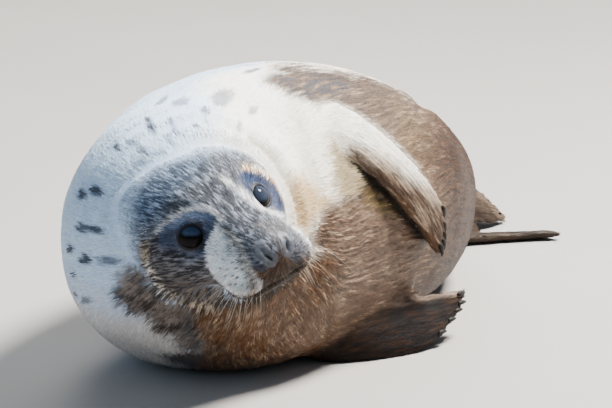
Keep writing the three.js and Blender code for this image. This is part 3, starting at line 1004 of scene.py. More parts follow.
@dataclass
class Markings:
    """Gives the coat's tone and dampness at any place of the body."""

    tones: Palette = field(default_factory=Palette)
    # Gaps between the ends of the digits, each a line between two places in world millimetres.
    slits: Sequence[Array] = ()
    # Edge of the sand-stained damp belly: across the body, at heights above the floor, in millimetres.
    stain_heights: Sequence[float] = (0, 40, 70, 100, 120, 145, 170, 207, 237, 290, 330)
    stain_edges: Sequence[float] = (-45, -35, -14, -34, 66, 92, 95, 104, 108, 92, 60)

    @staticmethod
    def _spots(tone: Array, places: Array, flow: Array, ragged: Array, dark: Tone) -> Array:
        """Lays the neck's spots, drawn out along the lie of the coat, over tones."""
        cover = np.zeros(len(tone))
        for spot in NECK_SPOTS:
            v = places - np.array(spot.at)
            along = (v * flow).sum(1)
            rest = np.maximum((v * v).sum(1) - along**2, 0)
            d = np.sqrt((along / spot.along) ** 2 + rest / spot.across**2)
            cover = np.maximum(cover, min(1.0, 1.6 * spot.strength) * ramp(d + 0.5 * ragged, 1.35, 0.65))
        return mix(tone, dark, cover)

    @staticmethod
    def _within(view: Array, outline: Outline, soft: float, ragged: Array | float = 0.0) -> Array:
        """How far places lie within an outline, from 0 to 1, with a soft ragged edge."""
        return ramp(inside_outline(view, outline) + ragged, -soft, soft)

    @staticmethod
    def _along(view: Array, line: Outline, width: float) -> Array:
        """How near places lie to a line, from 0 to 1."""
        return bell(to_line(view, line)[0], width)

    def _clean_coat(self, p: Array, flow: Array, dorsal: Array, n: Grain) -> Array:
        """Tones of the clean coat: silver with a painted blue cast of sky light, to white and cream, greyer and
        blotched over the back, spotted.
        """
        t = self.tones
        x, y, z = p.T
        across = x - 0.6 * np.maximum(y - 20, 0)
        tone = mix(t.silver_sky_tinted, t.white, ramp(across + 0.35 * z + 16 * n.broad, 60, 130))
        tone = mix(tone, t.cream, 0.55 * ramp(across + 22 * n.broad, 30, 100))
        behind = ramp(y + 40 * n.broad + 14 * n.mid, -40, 240)
        tone = mix(tone, t.back, 0.85 * behind * ramp(dorsal + 0.3 * n.broad, -0.1, 0.75))
        blotch = value_noise(p, 42, 11) + 0.5 * value_noise(p, 17, 12)
        blotched = 0.8 * ramp(blotch, 0.25, 0.55) * ramp(y, 60, 170) * ramp(dorsal, -0.35, 0.2)
        tone = mix(tone, t.spot, blotched)
        return self._spots(tone, p, flow, 0.3 * n.fine + 0.4 * n.streak, t.spot)

    def _stained(self, p: Array, n: Grain) -> Array:
        """How far sand and water have stained the coat, from 0 to 1."""
        x, y, z = p.T
        edge = np.interp(z, self.stain_heights, self.stain_edges)
        stain = ramp(x - edge + 16 * n.mid + 9 * n.fine, -14, 16)
        upper = ramp(z, 225, 262)
        patch_edge = 46 + 14 * n.mid + 0.28 * np.maximum(-y, 0)
        patch = upper * ramp(x - patch_edge, -12, 16) * ramp(y + 20 * n.mid, -30, 10)
        return stain * (1 - upper) + patch

    def _stained_coat(self, p: Array, view: Array, front: Array, ragged: Array, n: Grain) -> Array:
        """Tones of the stained coat: tan, taupe higher up, rusty at the throat and ochre on the flank."""
        t = self.tones
        x, y, z = p.T
        tan = mix(t.tan, t.tan_dark, 0.6 * ramp(n.mid + 0.6 * n.streak, 0.0, 1.0))
        tan = mix(tan, t.tan_pale, 0.55 * ramp(n.streak - 0.3 * n.mid, 0.1, 0.8))
        high = ramp(z, 205, 255)
        taupe = mix(t.taupe, t.tan_pale, 0.45 * ramp(n.streak + 0.3 * n.mid, -0.1, 0.8))
        tan = mix(tan, taupe, 0.75 * high)
        grey = self._within(view, FLANK_GREY, 6, ragged) * front * ramp(n.streak + 0.4 * n.mid, 0.5, -0.6)
        tan = mix(tan, np.array(t.pepper) * 1.3, 0.85 * grey)
        throat = ramp(z, 165, 90) * ramp(x, 135, 60)
        tan = mix(tan, mix(t.rust, t.tan_pale, 0.35 * ramp(n.streak, 0.2, 0.8)), 0.8 * throat)
        green = np.exp(-(((p - np.array([168, 5, 205])) / np.array([34, 40, 34])) ** 2).sum(1))
        green += 0.7 * np.exp(-(((p - np.array([205, 120, 235])) / np.array([30, 60, 40])) ** 2).sum(1))
        tan = mix(tan, t.ochre, np.clip(green * (0.4 + 0.4 * n.mid), 0, 0.6))
        tan = tinge(tan, t.hips_cast, ramp(y, 40, 210) * ramp(z, 250, 190))
        specks = ramp(value_noise(p, 4.2, 13), 0.70, 0.82) * ramp(value_noise(p, 40, 14), -0.1, 0.4)
        return mix(tan, t.soot, 0.75 * specks)

    def _trunk(self, points: Array, normals: Array, flow: Array, n: Grain) -> tuple[Array, Array]:
        """Tones and dampness of the trunk and flippers' roots."""
        t, p = self.tones, points / MM
        x, y, z = p.T
        view, seen = FRONT.places(points), FRONT.facing(points, normals)
        front = ramp(seen, -0.15, 0.1)
        middle = np.interp(y, (-240, -25, 95, 225, 345, 445, 572), (-46, -17, 38, 96, 146, 183, 222))
        dorsal = (middle - x) / 150
        tone = self._clean_coat(p, flow, dorsal, n)
        # Painted shade along each fold of the neck.
        for fold in FOLDS:
            tone = mix(tone, t.crease_shade, self._along(view, fold.line, fold.shade_width) * front * fold.shade)
        stain = self._stained(p, n)
        ragged = 5 * n.streak + 3 * n.mid
        white = self._within(view, CHEST_WHITE, 9, ragged) * front * ramp(y, 60, 20)
        # The top of the back is kept clear of stain and toned as sunlit cream: painted light over the coat's
        # own cream.
        lit_band = ramp(z, 240, 275) * ramp(y - 0.35 * x + 22 * n.mid, 120, 165)
        lit_band = lit_band * (1 - front) + front * self._within(view, CREAM_LIT_BAND, 7, ragged)
        stain = stain * (1 - white) * (1 - 0.9 * lit_band)
        stain = stain * (1 - 0.9 * ramp(dorsal, 0.05, 0.45) * ramp(y, -40, 60))
        # Painted rim light where the back's edge turns away from the view.
        grazed = ramp(seen + 0.12 * n.mid + 0.06 * n.streak, 0.42, 0.20)
        rim = self._along(view, BACK_RIM_LIGHT, 3.5) * front * grazed * ramp(y + 24 * n.mid, 230, 160)
        stain = stain * (1 - 0.8 * rim)
        tone = mix(tone, t.sunlit, 0.9 * np.maximum(lit_band * front, rim))
        tone = mix(tone, self._stained_coat(p, view, front, ragged, n), stain)
        # Painted shade in the hollow between the chest and the left flipper.
        tone = tinge(tone, t.hollow_shade_cast, self._within(view, HOLLOW_SHADE, 10, ragged) * front)
        # Painted shade along the fold that runs down to the crevice.
        tone = tinge(tone, t.fold_shade_cast, self._along(view, FOLDS[2].line, 7) * front)
        tone = tinge(tone, t.ochre_cast, self._within(view, OCHRE_CHEST, 9, ragged) * front)
        olive = mix(*t.olive, ramp(n.streak, -0.3, 0.7))
        tone = mix(tone, olive, 0.9 * self._within(view, OLIVE, 5, ragged) * front)
        shaded = ramp(z + 12 * n.mid, 150, 70) * ramp(x, 10, -70) * front
        tone = tinge(tone, t.low_cast, shaded)
        low = ramp(z, 30, 6)
        tone = mix(tone, t.tan_dark, 0.6 * low * ramp(x, -140, -60))
        # Painted shade along the contact by the right foreflipper.
        contact_shade = 0.5 * self._along(view, RIGHT_CONTACT_SHADE, 5) * front * ramp(z, 80, 60)
        tone = mix(tone, t.tan_dark, contact_shade)
        high, rump = ramp(z, 205, 255), ramp(y, 230, 420)
        return tone, np.clip(0.8 * stain * (1 - 0.6 * rump) * (1 - 0.5 * high) + 0.3 * low, 0, 1)

    def _head(self, points: Array, normals: Array, n: Grain) -> tuple[Array, Array]:
        """Tones and dampness of the head; what is hidden on its far side mirrors the near side."""
        t, q = self.tones, HEAD.local(points)
        view, seen = FRONT.places(points), FRONT.facing(points, normals)
        flip = np.array([1.0, -1.0, 1.0])
        other = HEAD.world(q * flip)
        other_normals = HEAD.turn((normals @ HEAD.axes.T) * flip)
        hidden = (q[:, 1] > 0) & (seen + 0.1 * n.fine < 0.04)
        view = np.where(hidden[:, None], FRONT.places(other), view)
        seen = np.where(hidden, FRONT.facing(other, other_normals), seen)
        far = (q[:, 1] > 0) & ~hidden
        front = ramp(seen, -0.02, 0.2)
        ragged = 2.2 * n.streak + 1.0 * n.fine
        salt = ramp(n.streak + 0.5 * n.fine + 0.2 * n.mid, -0.25, 0.75)
        tone = mix(np.array(t.pepper) * 1.3, t.hair, salt)
        behind = ramp(q[:, 0] + 6 * n.mid, -38, -80)
        tone = mix(tone, mix(np.array(t.silver_sky_tinted) * 0.72, t.silver_sky_tinted, salt), behind)
        # Combed slate-blue crown, and dark marks over the forehead and muzzle.
        crown = self._within(view, CROWN, 9, 4 * n.streak + 3 * n.mid) * front
        combed = mix(t.crown_dark, t.crown_pale, ramp(n.streak + 0.3 * n.mid, -0.35, 0.65))
        tone = mix(tone, combed, 0.92 * crown)
        cover = np.zeros(len(q))
        for right, up, wide, tall, strength in FACE_MARKS:
            d = np.hypot((view[:, 0] - right) / wide, (view[:, 1] - up) / tall)
            cover = np.maximum(cover, strength * ramp(d + 0.55 * n.streak, 1.55, 0.45))
        # Pads: white, speckled where they meet the nose.
        pad = self._within(view, PAD_NEAR, 2.5, ragged) * front * (~far)
        whites = mix(*t.pad, ramp(n.streak, -0.6, 0.3))
        speckled = mix(*t.pad_speckled, salt)
        whites = mix(whites, speckled, ramp(view[:, 0] + 0.5 * view[:, 1] + 4 * n.mid, -108, -97))
        whites = whites * (1 - 0.5 * ramp(view[:, 1], -74, -92))[:, None]
        tone = mix(tone, whites, pad)
        tone = mix(tone, np.array(t.pepper) * (1 + 1.2 * pad)[:, None], cover * (1 - 0.3 * pad) * front)
        tone = tone * (1 - 0.35 * (far & (q[:, 0] > 30)) * ramp(q[:, 0], 30, 60) * front)[:, None]
        end = far & (q[:, 0] > 56)
        tone = mix(tone, mix(*t.muzzle_end, salt), 0.9 * end * front)
        # The mask of dark clumped hair below the eye, and slate skin close round it.
        mask = self._within(view, MASK, 2.0, ragged) * front * (~far)
        tone = mix(tone, self._clumps(view, n), mask)
        slate = self._within(view, SLATE_NEAR, 2.0, ragged * ramp(view[:, 1], -52, -40)) * (~far)
        slate = slate * ramp(view[:, 1] + 3 * n.streak + 0.25 * (view[:, 0] + 120), -62, -44)
        slate = np.maximum(slate, self._within(view, SLATE_FAR, 1.6, 0.6 * ragged) * far) * front
        height = view[:, 1] - 0.25 * (view[:, 0] + 120) + 3 * n.mid
        blue = mix(np.array(t.slate) * 0.75, np.array(t.slate_pale) * 1.3, ramp(height, -28, -10))
        dim = np.array(t.far_slate_cast)
        blue = np.where(far[:, None], mix(np.array(t.slate) * dim, np.array(t.slate_pale) * dim, salt), blue)
        tone = mix(tone, blue, 0.94 * slate)
        # Pale hair along the brow, the bridge and the rims, and the fringe of clumped hair at the jaw.
        comb = 0.35 + 0.65 * ramp(n.streak, -0.5, 0.2)
        brow = 0.85 * self._along(view, BROW_LIGHT, 3.2) * comb
        tone = mix(tone, t.brow, brow * front * (~far) * (1 - slate))
        tone = mix(tone, t.brow, 0.9 * self._along(view, BRIDGE_LIGHT, 3.4) * comb * front)
        tone = mix(tone, t.brow, 0.75 * self._along(view, PAD_RIM, 2.8) * front * (1 - mask) * (~far))
        rim = self._along(view, RIM_FAR, 4.5) * front * far * (1 - slate)
        warm = mix(t.rim_brown, t.cream, ramp(n.streak + 0.4 * n.fine, -0.3, 0.3))
        tone = mix(tone, warm, 0.9 * rim)
        # Nose, the rusty lip below it and the chin.
        nose = self._within(view, NOSE_FAR, 2, ragged) * far
        nose = np.maximum(self._within(view, NOSE_NEAR, 2, ragged), nose) * front
        tone = mix(tone, mix(*t.nose, salt), 0.9 * nose)
        under = self._within(view, UNDER_NOSE, 3, ragged) * front
        lips = mix(*t.lips, ramp(n.streak, 0.1, 0.6))
        lips = mix(lips, t.lip_dark, ramp(view[:, 1] - 0.45 * view[:, 0] + 4 * n.streak, -52, -66))
        tone = mix(tone, lips, 0.95 * under)
        chin = self._within(view, CHIN, 3, ragged) * front
        beard = mix(np.array(t.rust) * 1.1, t.tan_pale, 0.8 * ramp(n.streak + 0.2 * n.mid, -0.1, 0.6))
        beard = mix(beard, t.beard_warm, 0.6 * ramp(view[:, 0] + 5 * n.streak, -42, -14))
        tone = mix(tone, beard, 0.95 * chin)
        below = ramp(q[:, 2] + 3 * n.mid, -58, -68) * (1 - mask)
        tone = mix(tone, beard, 0.85 * below)
        dots = np.full(len(q), 99.0)
        for right, up in FOLLICLES:
            dots = np.minimum(dots, np.hypot(view[:, 0] - right, view[:, 1] - up))
        tone = mix(tone, t.soot, 0.85 * ramp(dots, 1.7, 0.7) * front)
        return tone, np.clip(0.25 + 0.5 * under + 0.45 * slate + 0.35 * mask + 0.4 * chin, 0, 1)

    def _clumps(self, view: Array, n: Grain) -> Array:
        """Tones of the mask's dark clumped hair."""
        t = self.tones
        clumps = mix(t.soot, t.mask, ramp(n.streak + 0.25 * n.fine, -0.35, 0.6))
        browner = ramp(view[:, 1] + 0.25 * (view[:, 0] + 120) + 4 * n.mid, -62, -90)
        return mix(clumps, t.mask_brown, 0.75 * browner * ramp(n.streak, 0.0, 0.5))

    def _jaw(
        self, points: Array, normals: Array, tone: Array, wet: Array, n: Grain
    ) -> tuple[Array, Array]:
        """Lays the stained throat, creased cheek, painted shade under the pad and fringe of clumped hair across
        the head and neck.
        """
        t = self.tones
        view = FRONT.places(points)
        front = ramp(FRONT.facing(points, normals), -0.35, -0.05) * ramp(points[:, 1] / MM, 30, -10)
        ragged = 2.6 * n.streak + 1.6 * n.fine
        pad = self._within(view, PAD_NEAR, 2.0)
        throat = self._within(view, THROAT, 7, 1.8 * ragged) * front
        stained = mix(t.rust, np.array(t.tan_pale) * 0.9, 0.75 * ramp(n.streak + 0.3 * n.mid, -0.1, 0.8))
        stained = mix(stained, t.tan_dark, 0.6 * ramp(n.mid - 0.3 * n.streak, 0.15, 0.7))
        tone = mix(tone, stained, throat)
        fold = self._within(view, GREY_FOLD, 6, 2.0 * ragged) * front
        greys = mix(*t.cheek, ramp(n.streak + 0.8 * n.mid, -0.6, 0.9))
        greys = greys * (1 - 0.5 * ramp(view[:, 0], -146, -120) * ramp(view[:, 1], -142, -134))[:, None]
        tone = mix(tone, greys, 0.92 * fold)
        # Below the pad the hair is dark brown, darkened further as painted shade.
        under = self._within(view, UNDER_PAD, 2.5, ragged) * front * (1 - pad)
        shady = mix(*t.under_pad_shaded, ramp(n.streak, -0.1, 0.7))
        tone = mix(tone, shady * 0.7, 0.95 * under)
        mask = self._within(view, MASK, 2.0, ragged) * front * ramp(view[:, 1], -80, -90) * (1 - pad)
        tone = mix(tone, self._clumps(view, n), mask)
        gap, share = to_line(view, FRINGE)
        fringe = ramp(gap + 2.5 * n.mid + 2.5 * n.comb, 7.5, 2.5) * front * (1 - pad)
        fringe = fringe * ramp(share, 0.02, 0.16)
        bright = mix(*t.fringe, ramp(share, 0.2, 0.32) * ramp(share, 0.66, 0.5))
        hairs = mix(t.fringe_dark, bright, ramp(n.comb, -0.12, 0.25))
        tone = mix(tone, hairs, 0.92 * fringe)
        return tone, np.maximum(wet, 0.5 * np.maximum(under, 0.6 * throat))

    def _limbs(
        self, points: Array, normals: Array, weights: Array, tone: Array, wet: Array, n: Grain
    ) -> tuple[Array, Array]:
        """Lays the flippers' tones over those of the trunk: their own, with painted shade on the left flipper's
        root, over the right flipper and its underside, and over the left hind flipper.
        """
        t, p = self.tones, points / MM
        view, front = FRONT.places(points), ramp(FRONT.facing(points, normals), -0.15, 0.1)
        part = {which: weights[:, PARTS.index(which)] for which in PARTS}
        left = part[Part.FOREFLIPPER_LEFT]
        out = ramp(p[:, 0] + 5 * n.streak, 120, 160)
        gap, share = to_line(view, CREVICE)
        taupe = mix(*t.left_flipper, ramp(n.streak + 0.2 * n.mid, -0.2, 0.8))
        start = np.interp(share, (0, 0.2, 0.35, 0.75, 1), (14, 22, 30, 33, 42))
        pale = ramp(gap - start + 3 * n.streak + 3 * n.mid, -9, 13) * (1 - 0.8 * ramp(share, 0.8, 1.0))
        fading = ramp(share + 0.05 * n.mid + 0.03 * n.streak - 0.004 * (gap - start), 0.34, 0.66)
        light = mix((np.array(t.cream) + np.array(t.white)) / 2, t.flipper_pale, fading)
        face = mix(taupe, light, pale)
        rust = ramp(gap + 3 * n.mid, 17, 8) * ramp(share, 0.35, 0.6)
        face = mix(face, mix(t.rust, t.tan_pale, ramp(n.streak, 0.0, 0.6)), 0.8 * rust)
        back = mix(t.cream, t.flipper_back, ramp(p[:, 2] + 10 * n.mid, 190, 120))
        face = face * front[:, None] + back * (1 - front[:, None])
        root = 0.6 * np.array(t.white) + 0.4 * np.array(t.cream)
        # Painted shade on the left flipper's root by the crevice.
        root = mix(root, t.flipper_root_shade, ramp(gap + 3 * n.mid, 24, 6) * front)
        tone = mix(tone, mix(root, face, out), left)
        wet = wet * (1 - left) + left * 0.35 * out
        right = part[Part.FOREFLIPPER_RIGHT]
        # The right flipper's dark brown, darkened further as painted shade.
        brown = mix(*t.right_flipper_shaded, ramp(n.streak + 0.3 * n.mid, -0.4, 0.8))
        edge = ramp(to_line(view, RIGHT_EDGE)[0] + 2 * n.streak, 9, 4) * front
        brown = mix(brown, mix(*t.right_edge, ramp(n.streak, -0.4, 0.5)),
                    0.9 * edge)
        # Painted shade, towards the soot tone, where the flipper's surface turns sideways and down, far out.
        underside_shade = 0.5 * ramp(p[:, 0] + 10 * n.streak, 222, 250) * ramp(normals[:, 2], 0.6, 0.1)
        brown = mix(brown, t.soot, underside_shade)
        tone = mix(tone, brown, right)
        wet = np.maximum(wet * (1 - right), 0.15 * right)
        for which, most in PALE_STREAKS.items():
            hind = mix(np.array(t.tan) * 0.6, t.tan_pale, most * ramp(n.streak + 0.5 * n.mid, -0.7, 0.5))
            if which is Part.HINDFLIPPER_LEFT:
                # The left hind flipper is darkened to a fifth as painted shade, with a paler rim along its
                # edge.
                rim = ramp(to_line(view, HIND_EDGE)[0] + 2 * n.streak, 7, 3)
                hind = mix(hind * 0.2, np.array(t.tan_pale) * 0.5, 0.6 * rim)
            if which is Part.HINDFLIPPER_RIGHT:
                hind = hind * (0.25 - 0.08 * ramp(view[:, 0], 205, 265))[:, None]
            tone = mix(tone, hind, 0.95 * part[which])
            wet = np.maximum(wet, 0.4 * part[which])
        if self.slits:
            gap = np.min([to_line(p, slit)[0] for slit in self.slits], axis=0)
            tone = mix(tone, np.array(t.soot) * 0.8, 0.85 * ramp(gap + 0.5 * n.fine, 2.6, 1.0))
        return tone, wet

    def at(self, points: Array, normals: Array, flow: Array, weights: Array) -> tuple[Array, Array]:
        """Tone and dampness of the coat.

        Args:
            points: world places in metres.
            normals: the skin's directions outwards there.
            flow: the lie of the coat there.
            weights: how much of each part of the body a place belongs to, one column each.

        Returns:
            Red, green and blue for each place, and dampness from 0 to 1.
        """
        p = points / MM
        noise = Grain(
            streak=streaks(p, flow, 2.8, 10, 4),
            mid=value_noise(p, 20, 2),
            fine=value_noise(p, 7, 3),
            broad=value_noise(p, 70, 1),
        )
        head = weights[:, PARTS.index(Part.HEAD)]
        tone, wet = self._trunk(points, normals, flow, noise)
        small = Grain(
            streak=streaks(p, flow, 1.3, 3.4, 5),
            mid=value_noise(p, 11, 7),
            fine=value_noise(p, 2.8, 6),
            comb=streaks(p, flow, 1.25, 8, 8),
        )
        face, face_wet = self._head(points, normals, small)
        tone = mix(tone, face, head)
        wet = wet * (1 - head) + face_wet * head
        tone, wet = self._jaw(points, normals, tone, wet, small)
        tone, wet = self._limbs(points, normals, weights, tone, wet, noise)
        view, seen = FRONT.places(points), FRONT.facing(points, normals)
        shaded = self._within(view, FLIPPER_SHADE, 11, 3 * noise.mid) * ramp(seen, -0.1, 0.2)
        tone = mix(tone, np.minimum(tone, self.tones.flipper_shade), 0.9 * shaded * ramp(p[:, 1], 60, 30))
        # Painted shadow: the deep gap under the left flipper's lower edge is toned near black.
        gap, share = to_line(view, CREVICE)
        deep = bell(gap, np.interp(share, (0, 0.2), (1.2, 4.0))) * ramp(seen, -0.9, -0.2)
        deep = deep * ramp(p[:, 1], 110, 60) * ramp(p[:, 2], 80, 95)
        tone = mix(tone, self.tones.crevice_shadow, 0.96 * np.clip(1.5 * deep, 0, 1))
        return np.clip(tone, 0.003, 0.94), np.clip(wet, 0, 1)


# ---- Skin --------------------------------------------------------------------------------------------------
@dataclass(frozen=True)
class Relief:
    """How the skin is treated on one part: smoothing passes and the coat's depth over it."""

    passes: float
    depth_mm: float


RELIEF = {
    Part.TRUNK: Relief(70, 2.0),
    Part.HEAD: Relief(5, 1.1),
    Part.FOREFLIPPER_LEFT: Relief(9, 0.7),
    Part.FOREFLIPPER_RIGHT: Relief(9, 0.7),
    Part.HINDFLIPPER_LEFT: Relief(7, 0.5),
    Part.HINDFLIPPER_RIGHT: Relief(7, 0.5),
    Part.TAIL: Relief(7, 0.6),
}
# How high the lids lie over the eyeball, by the angle outside their edge.
LID_ANGLES_DEG = (-60, -5, -1.5, 1.0, 5, 10, 15, 21, 28, 40)
LID_HEIGHTS_MM = (-2.5, -2.5, -1.2, 1.0, 1.9, 2.1, 1.3, 2.3, 2.2, 1.5)
# Lines on the left half of the head.
NOSTRIL = ((82, 17, -1), (88, 16, -7), (92, 11, -16))
PHILTRUM = ((94, 0, -20), (92, 0, -46))
MOUTH = (
    (6, 53, -55), (34, 53, -60), (58, 50, -59), (74, 43, -54), (84, 28, -46), (90, 10, -45), (91, 0, -45),
)


@dataclass(frozen=True)
class MiddleLine:
    """The middle of the trunk from the throat to the tail, in world millimetres."""

    places: tuple[Place, ...] = (
        (-46, -240, 194), (-42, -115, 176), (-17, -25, 158), (38, 95, 154), (96, 225, 141), (146, 345, 117),
        (183, 445, 88), (222, 572, 45), (246, 650, 40),
    )

    def beside(self, p: Array, reach: float) -> tuple[Array, Array, Array]:
        """What the line is like where it passes each place.

        Args:
            p: world places in millimetres.
            reach: how far ahead and back its direction is taken.

        Returns:
            How far along the line each place lies, and the line's own place and direction there.
        """
        line = np.array(self.places, float)
        steps = np.concatenate([[0], np.cumsum(np.linalg.norm(np.diff(line, axis=0), axis=1))])
        at = to_line(p, line)[1] * steps[-1]

        def place(distance: Array) -> Array:
            """The line's places at distances along it."""
            return np.stack([np.interp(distance, steps, line[:, k]) for k in range(3)], 1)

        return at, place(at), unit(place(at + reach) - place(at - reach))


TRUNK_LINE = MiddleLine()


def living(points: Array, part: Part) -> Array:
    """Places in metres on a flipper's solids, moved to its narrower living shape."""
    out = points.copy()
    if part is Part.FOREFLIPPER_LEFT:
        view = FRONT.places(points)
        across = np.array([0.745, 0.667])
        beyond = np.maximum((view - np.array(CREVICE[0])) @ across, 0) * 0.15 * MM
        out -= beyond[:, None] * (across[0] * np.array([1.0, 0, 0]) + across[1] * np.array(FRONT.above))
    elif part is Part.HINDFLIPPER_RIGHT:  # folded, its edge towards the head's side
        (root, near, _), (end, beyond, _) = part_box(part.value[0])
        along = ramp(points[:, 0], root, end)
        middle = (near + beyond) / 2
        out[:, 1] = middle + (24 * along - 20) * MM + (points[:, 1] - middle) * (0.45 - 0.15 * along)
        out[:, 2] *= 0.56
    elif part is Part.HINDFLIPPER_LEFT:
        out[:, 2] = 12 * MM + (out[:, 2] - 12 * MM) * 0.80
    return out


@dataclass
class Skin:
    """One closed skin over the whole body, with the face's folds and the digits shaped into it."""

    voxel: float = 5.5 * MM
    swell: float = 0.7 * MM
    floor_gap: float = 0.6 * MM
    ear_mm: Place = (-42, 74, -2)
    nose_tip_mm: Place = (96.0, 0, -12)
    tail_way: Place = (32.0, 105, -12)
    ruff_middle: tuple[float, float] = (-100, -15)
    limb_passes: float = 9
    regrow_rounds: int = 10
    regrow: float = 0.53
    crevice_depth_mm: float = 15
    crevice_width_mm: float = 4.2
    crevice_way: Place = (0.25, 0.95, 0.10)
    digit_rise_mm: float = 2.6
    digit_width_mm: float = 6.0
    web_drop_mm: float = 1.0
    nostril_depth_mm: float = 5.5
    leather_from: float = 0.12
    leather_thickness: float = 0.8 * MM

    def __post_init__(self) -> None:
        """Builds the skin's mesh and its fields."""
        self.mesh = self._shell()
        self._measure()
        self._settle()
        self._refine()
        self._shape_face()
        self._shape_neck()
        self._slim_limbs()
        self._part_flipper()
        self._shape_digits()
        self._clear_floor()
        self._fields()

    def _shell(self) -> bpy.types.Mesh:
        """Fuses the nodes into one closed surface of even squares."""
        names = [name for part in PARTS for name in part.value] + list(EYE_NODES)
        source = mesh_of(joined(names, self.swell), "flesh")
        obj = bpy.data.objects.new("flesh", source)
        bpy.context.scene.collection.objects.link(obj)
        voxels = obj.modifiers.new("Voxels", "REMESH")
        voxels.mode = "VOXEL"
        voxels.voxel_size = self.voxel
        voxels.adaptivity = 0
        made = bpy.data.meshes.new_from_object(obj.evaluated_get(bpy.context.evaluated_depsgraph_get()))
        bpy.data.objects.remove(obj)
        bm = bmesh.new()
        bm.from_mesh(made)
        bpy.data.meshes.remove(made)
        left, islands = set(bm.verts), []
        while left:
            stack, island = [left.pop()], []
            while stack:
                vertex = stack.pop()
                island.append(vertex)
                for edge in vertex.link_edges:
                    other = edge.other_vert(vertex)
                    if other in left:
                        left.discard(other)
                        stack.append(other)
            islands.append(island)
        islands.sort(key=len)
        for island in islands[:-1]:
            bmesh.ops.delete(bm, geom=island, context="VERTS")
        log.info("shell of %d vertices, %d inner islands dropped", len(bm.verts), len(islands) - 1)
        return mesh_of(bm, "skin")

    def _nearest_parts(self, points: Array) -> tuple[Array, Array]:
        """Which part each point is nearest to, and its distance from the head's solids."""
        trees = []
        for part in PARTS:
            bm = joined(part.value)
            trees.append(BVHTree.FromBMesh(bm))
            bm.free()
        owner, head_gap = np.zeros(len(points), int), np.zeros(len(points))
        for i, point in enumerate(points.tolist()):
            gaps = [tree.find_nearest(point)[3] for tree in trees]
            owner[i] = int(np.argmin(gaps))
            head_gap[i] = gaps[PARTS.index(Part.HEAD)]
        return owner, head_gap

    def _measure(self) -> None:
        """Finds which part of the body each vertex belongs to."""
        points, edges = points_of(self.mesh), edges_of(self.mesh)
        owner, head_gap = self._nearest_parts(points)
        weights = np.eye(len(PARTS))[owner]
        self.weights = smoothed(weights, edges, 5)
        self.head_gap = head_gap / MM

    def _share(self, part: Part) -> Array:
        """How much of each vertex belongs to a part."""
        return self.weights[:, PARTS.index(part)]

    def _limb_shares(self) -> Array:
        """How much of each vertex belongs to each limb."""
        return self.weights[:, PARTS.index(LIMBS[0]) :]

    def _head_share(self) -> Array:
        """Where the head's own features are shaped, fading towards the neck."""
        return ramp(self._share(Part.HEAD), 0.25, 0.6)

    def _move(self, points: Array) -> None:
        """Writes new places to the mesh."""
        self.mesh.vertices.foreach_set("co", points.ravel())
        self.mesh.update()

    def _settle(self) -> None:
        """Rounds the facets away and sinks the skin below the coat."""
        points, edges = points_of(self.mesh), edges_of(self.mesh)
        before = points.copy()
        passes = self.weights @ np.array([RELIEF[part].passes for part in PARTS])
        passes = np.minimum(passes, 8 + 1.6 * self.head_gap)
        limb = ramp(self._limb_shares().sum(1), 0.15, 0.7)
        passes = passes * (1 - limb) + np.minimum(passes, self.limb_passes) * limb
        for i in range(int(math.ceil(passes.max()))):
            share = np.clip(passes - i, 0, 1)[:, None]
            points = points + 0.5 * share * (neighbour_mean(points, edges) - points)
            if i < self.regrow_rounds:  # gives thin limbs back the size that smoothing takes
                inward = neighbour_mean(points, edges) - points
                points = points - self.regrow * (share * limb[:, None]) * inward
        self._move(points)
        # Smoothing draws the round trunk in; this gives it its girth back.
        lost = ((before - points) * normals_of(self.mesh)).sum(1) * (1 - limb) * ramp(self.head_gap, 1, 16)
        lost = smoothed(lost, edges, 24)
        self._move(points + normals_of(self.mesh) * lost[:, None])
        depth = self.weights @ np.array([RELIEF[part].depth_mm for part in PARTS]) * MM
        self._move(points_of(self.mesh) - normals_of(self.mesh) * depth[:, None])

    def _refine(self) -> None:
        """Divides the head and flippers more finely, and carries the fields over."""
        points = points_of(self.mesh)
        q = HEAD.local(points)
        face = (self._share(Part.HEAD) > 0.4) & (q[:, 0] > -44)
        scalp = (self.head_gap < 14) & ~face
        crevice_gap = to_line(FRONT.places(points), CREVICE)[0]
        beside = (crevice_gap < 13) & (points[:, 1] < 0.10) & (points[:, 2] > 0.08)
        beside &= FRONT.facing(points, normals_of(self.mesh)) > -0.3
        flipper = (self._limb_shares().max(1) > 0.5) | beside
        bm = bmesh.new()
        bm.from_mesh(self.mesh)
        names = [f"w{i}" for i in range(len(PARTS))] + ["gap"]
        layers = [bm.verts.layers.float.new(name) for name in names]
        for vertex, row, gap in zip(bm.verts, self.weights, self.head_gap):
            for layer, value in zip(layers, [*row, gap]):
                vertex[layer] = value
        for chosen, cuts in ((scalp | flipper, 1), (face, 3)):
            inside = [e for e in bm.edges if all(v.index >= 0 and chosen[v.index] for v in e.verts)]
            bmesh.ops.subdivide_edges(bm, edges=inside, cuts=cuts, use_grid_fill=True)
            for vertex in list(bm.verts)[len(chosen) :]:
                vertex.index = -1  # just made, so it has no place in the fields
        bm.verts.index_update()
        wide = [f for f in bm.faces if len(f.verts) > 4]
        bmesh.ops.triangulate(bm, faces=wide)
        rows = np.array([[v[layer] for layer in layers] for v in bm.verts])
        for layer in layers:
            bm.verts.layers.float.remove(layer)
        bm.to_mesh(self.mesh)
        bm.free()
        self.weights, self.head_gap = rows[:, :-1], rows[:, -1]
        points, edges = points_of(self.mesh), edges_of(self.mesh)
        q = HEAD.local(points)
        fine = ramp(self._share(Part.HEAD), 0.3, 0.6) * ramp(q[:, 0], -52, -38)
        limb = ramp(self._limb_shares().sum(1), 0.3, 0.7)
        self._move(smoothed(points, edges, (4 - 2.5 * limb) + 20 * fine))
        log.info("skin of %d vertices", len(points))

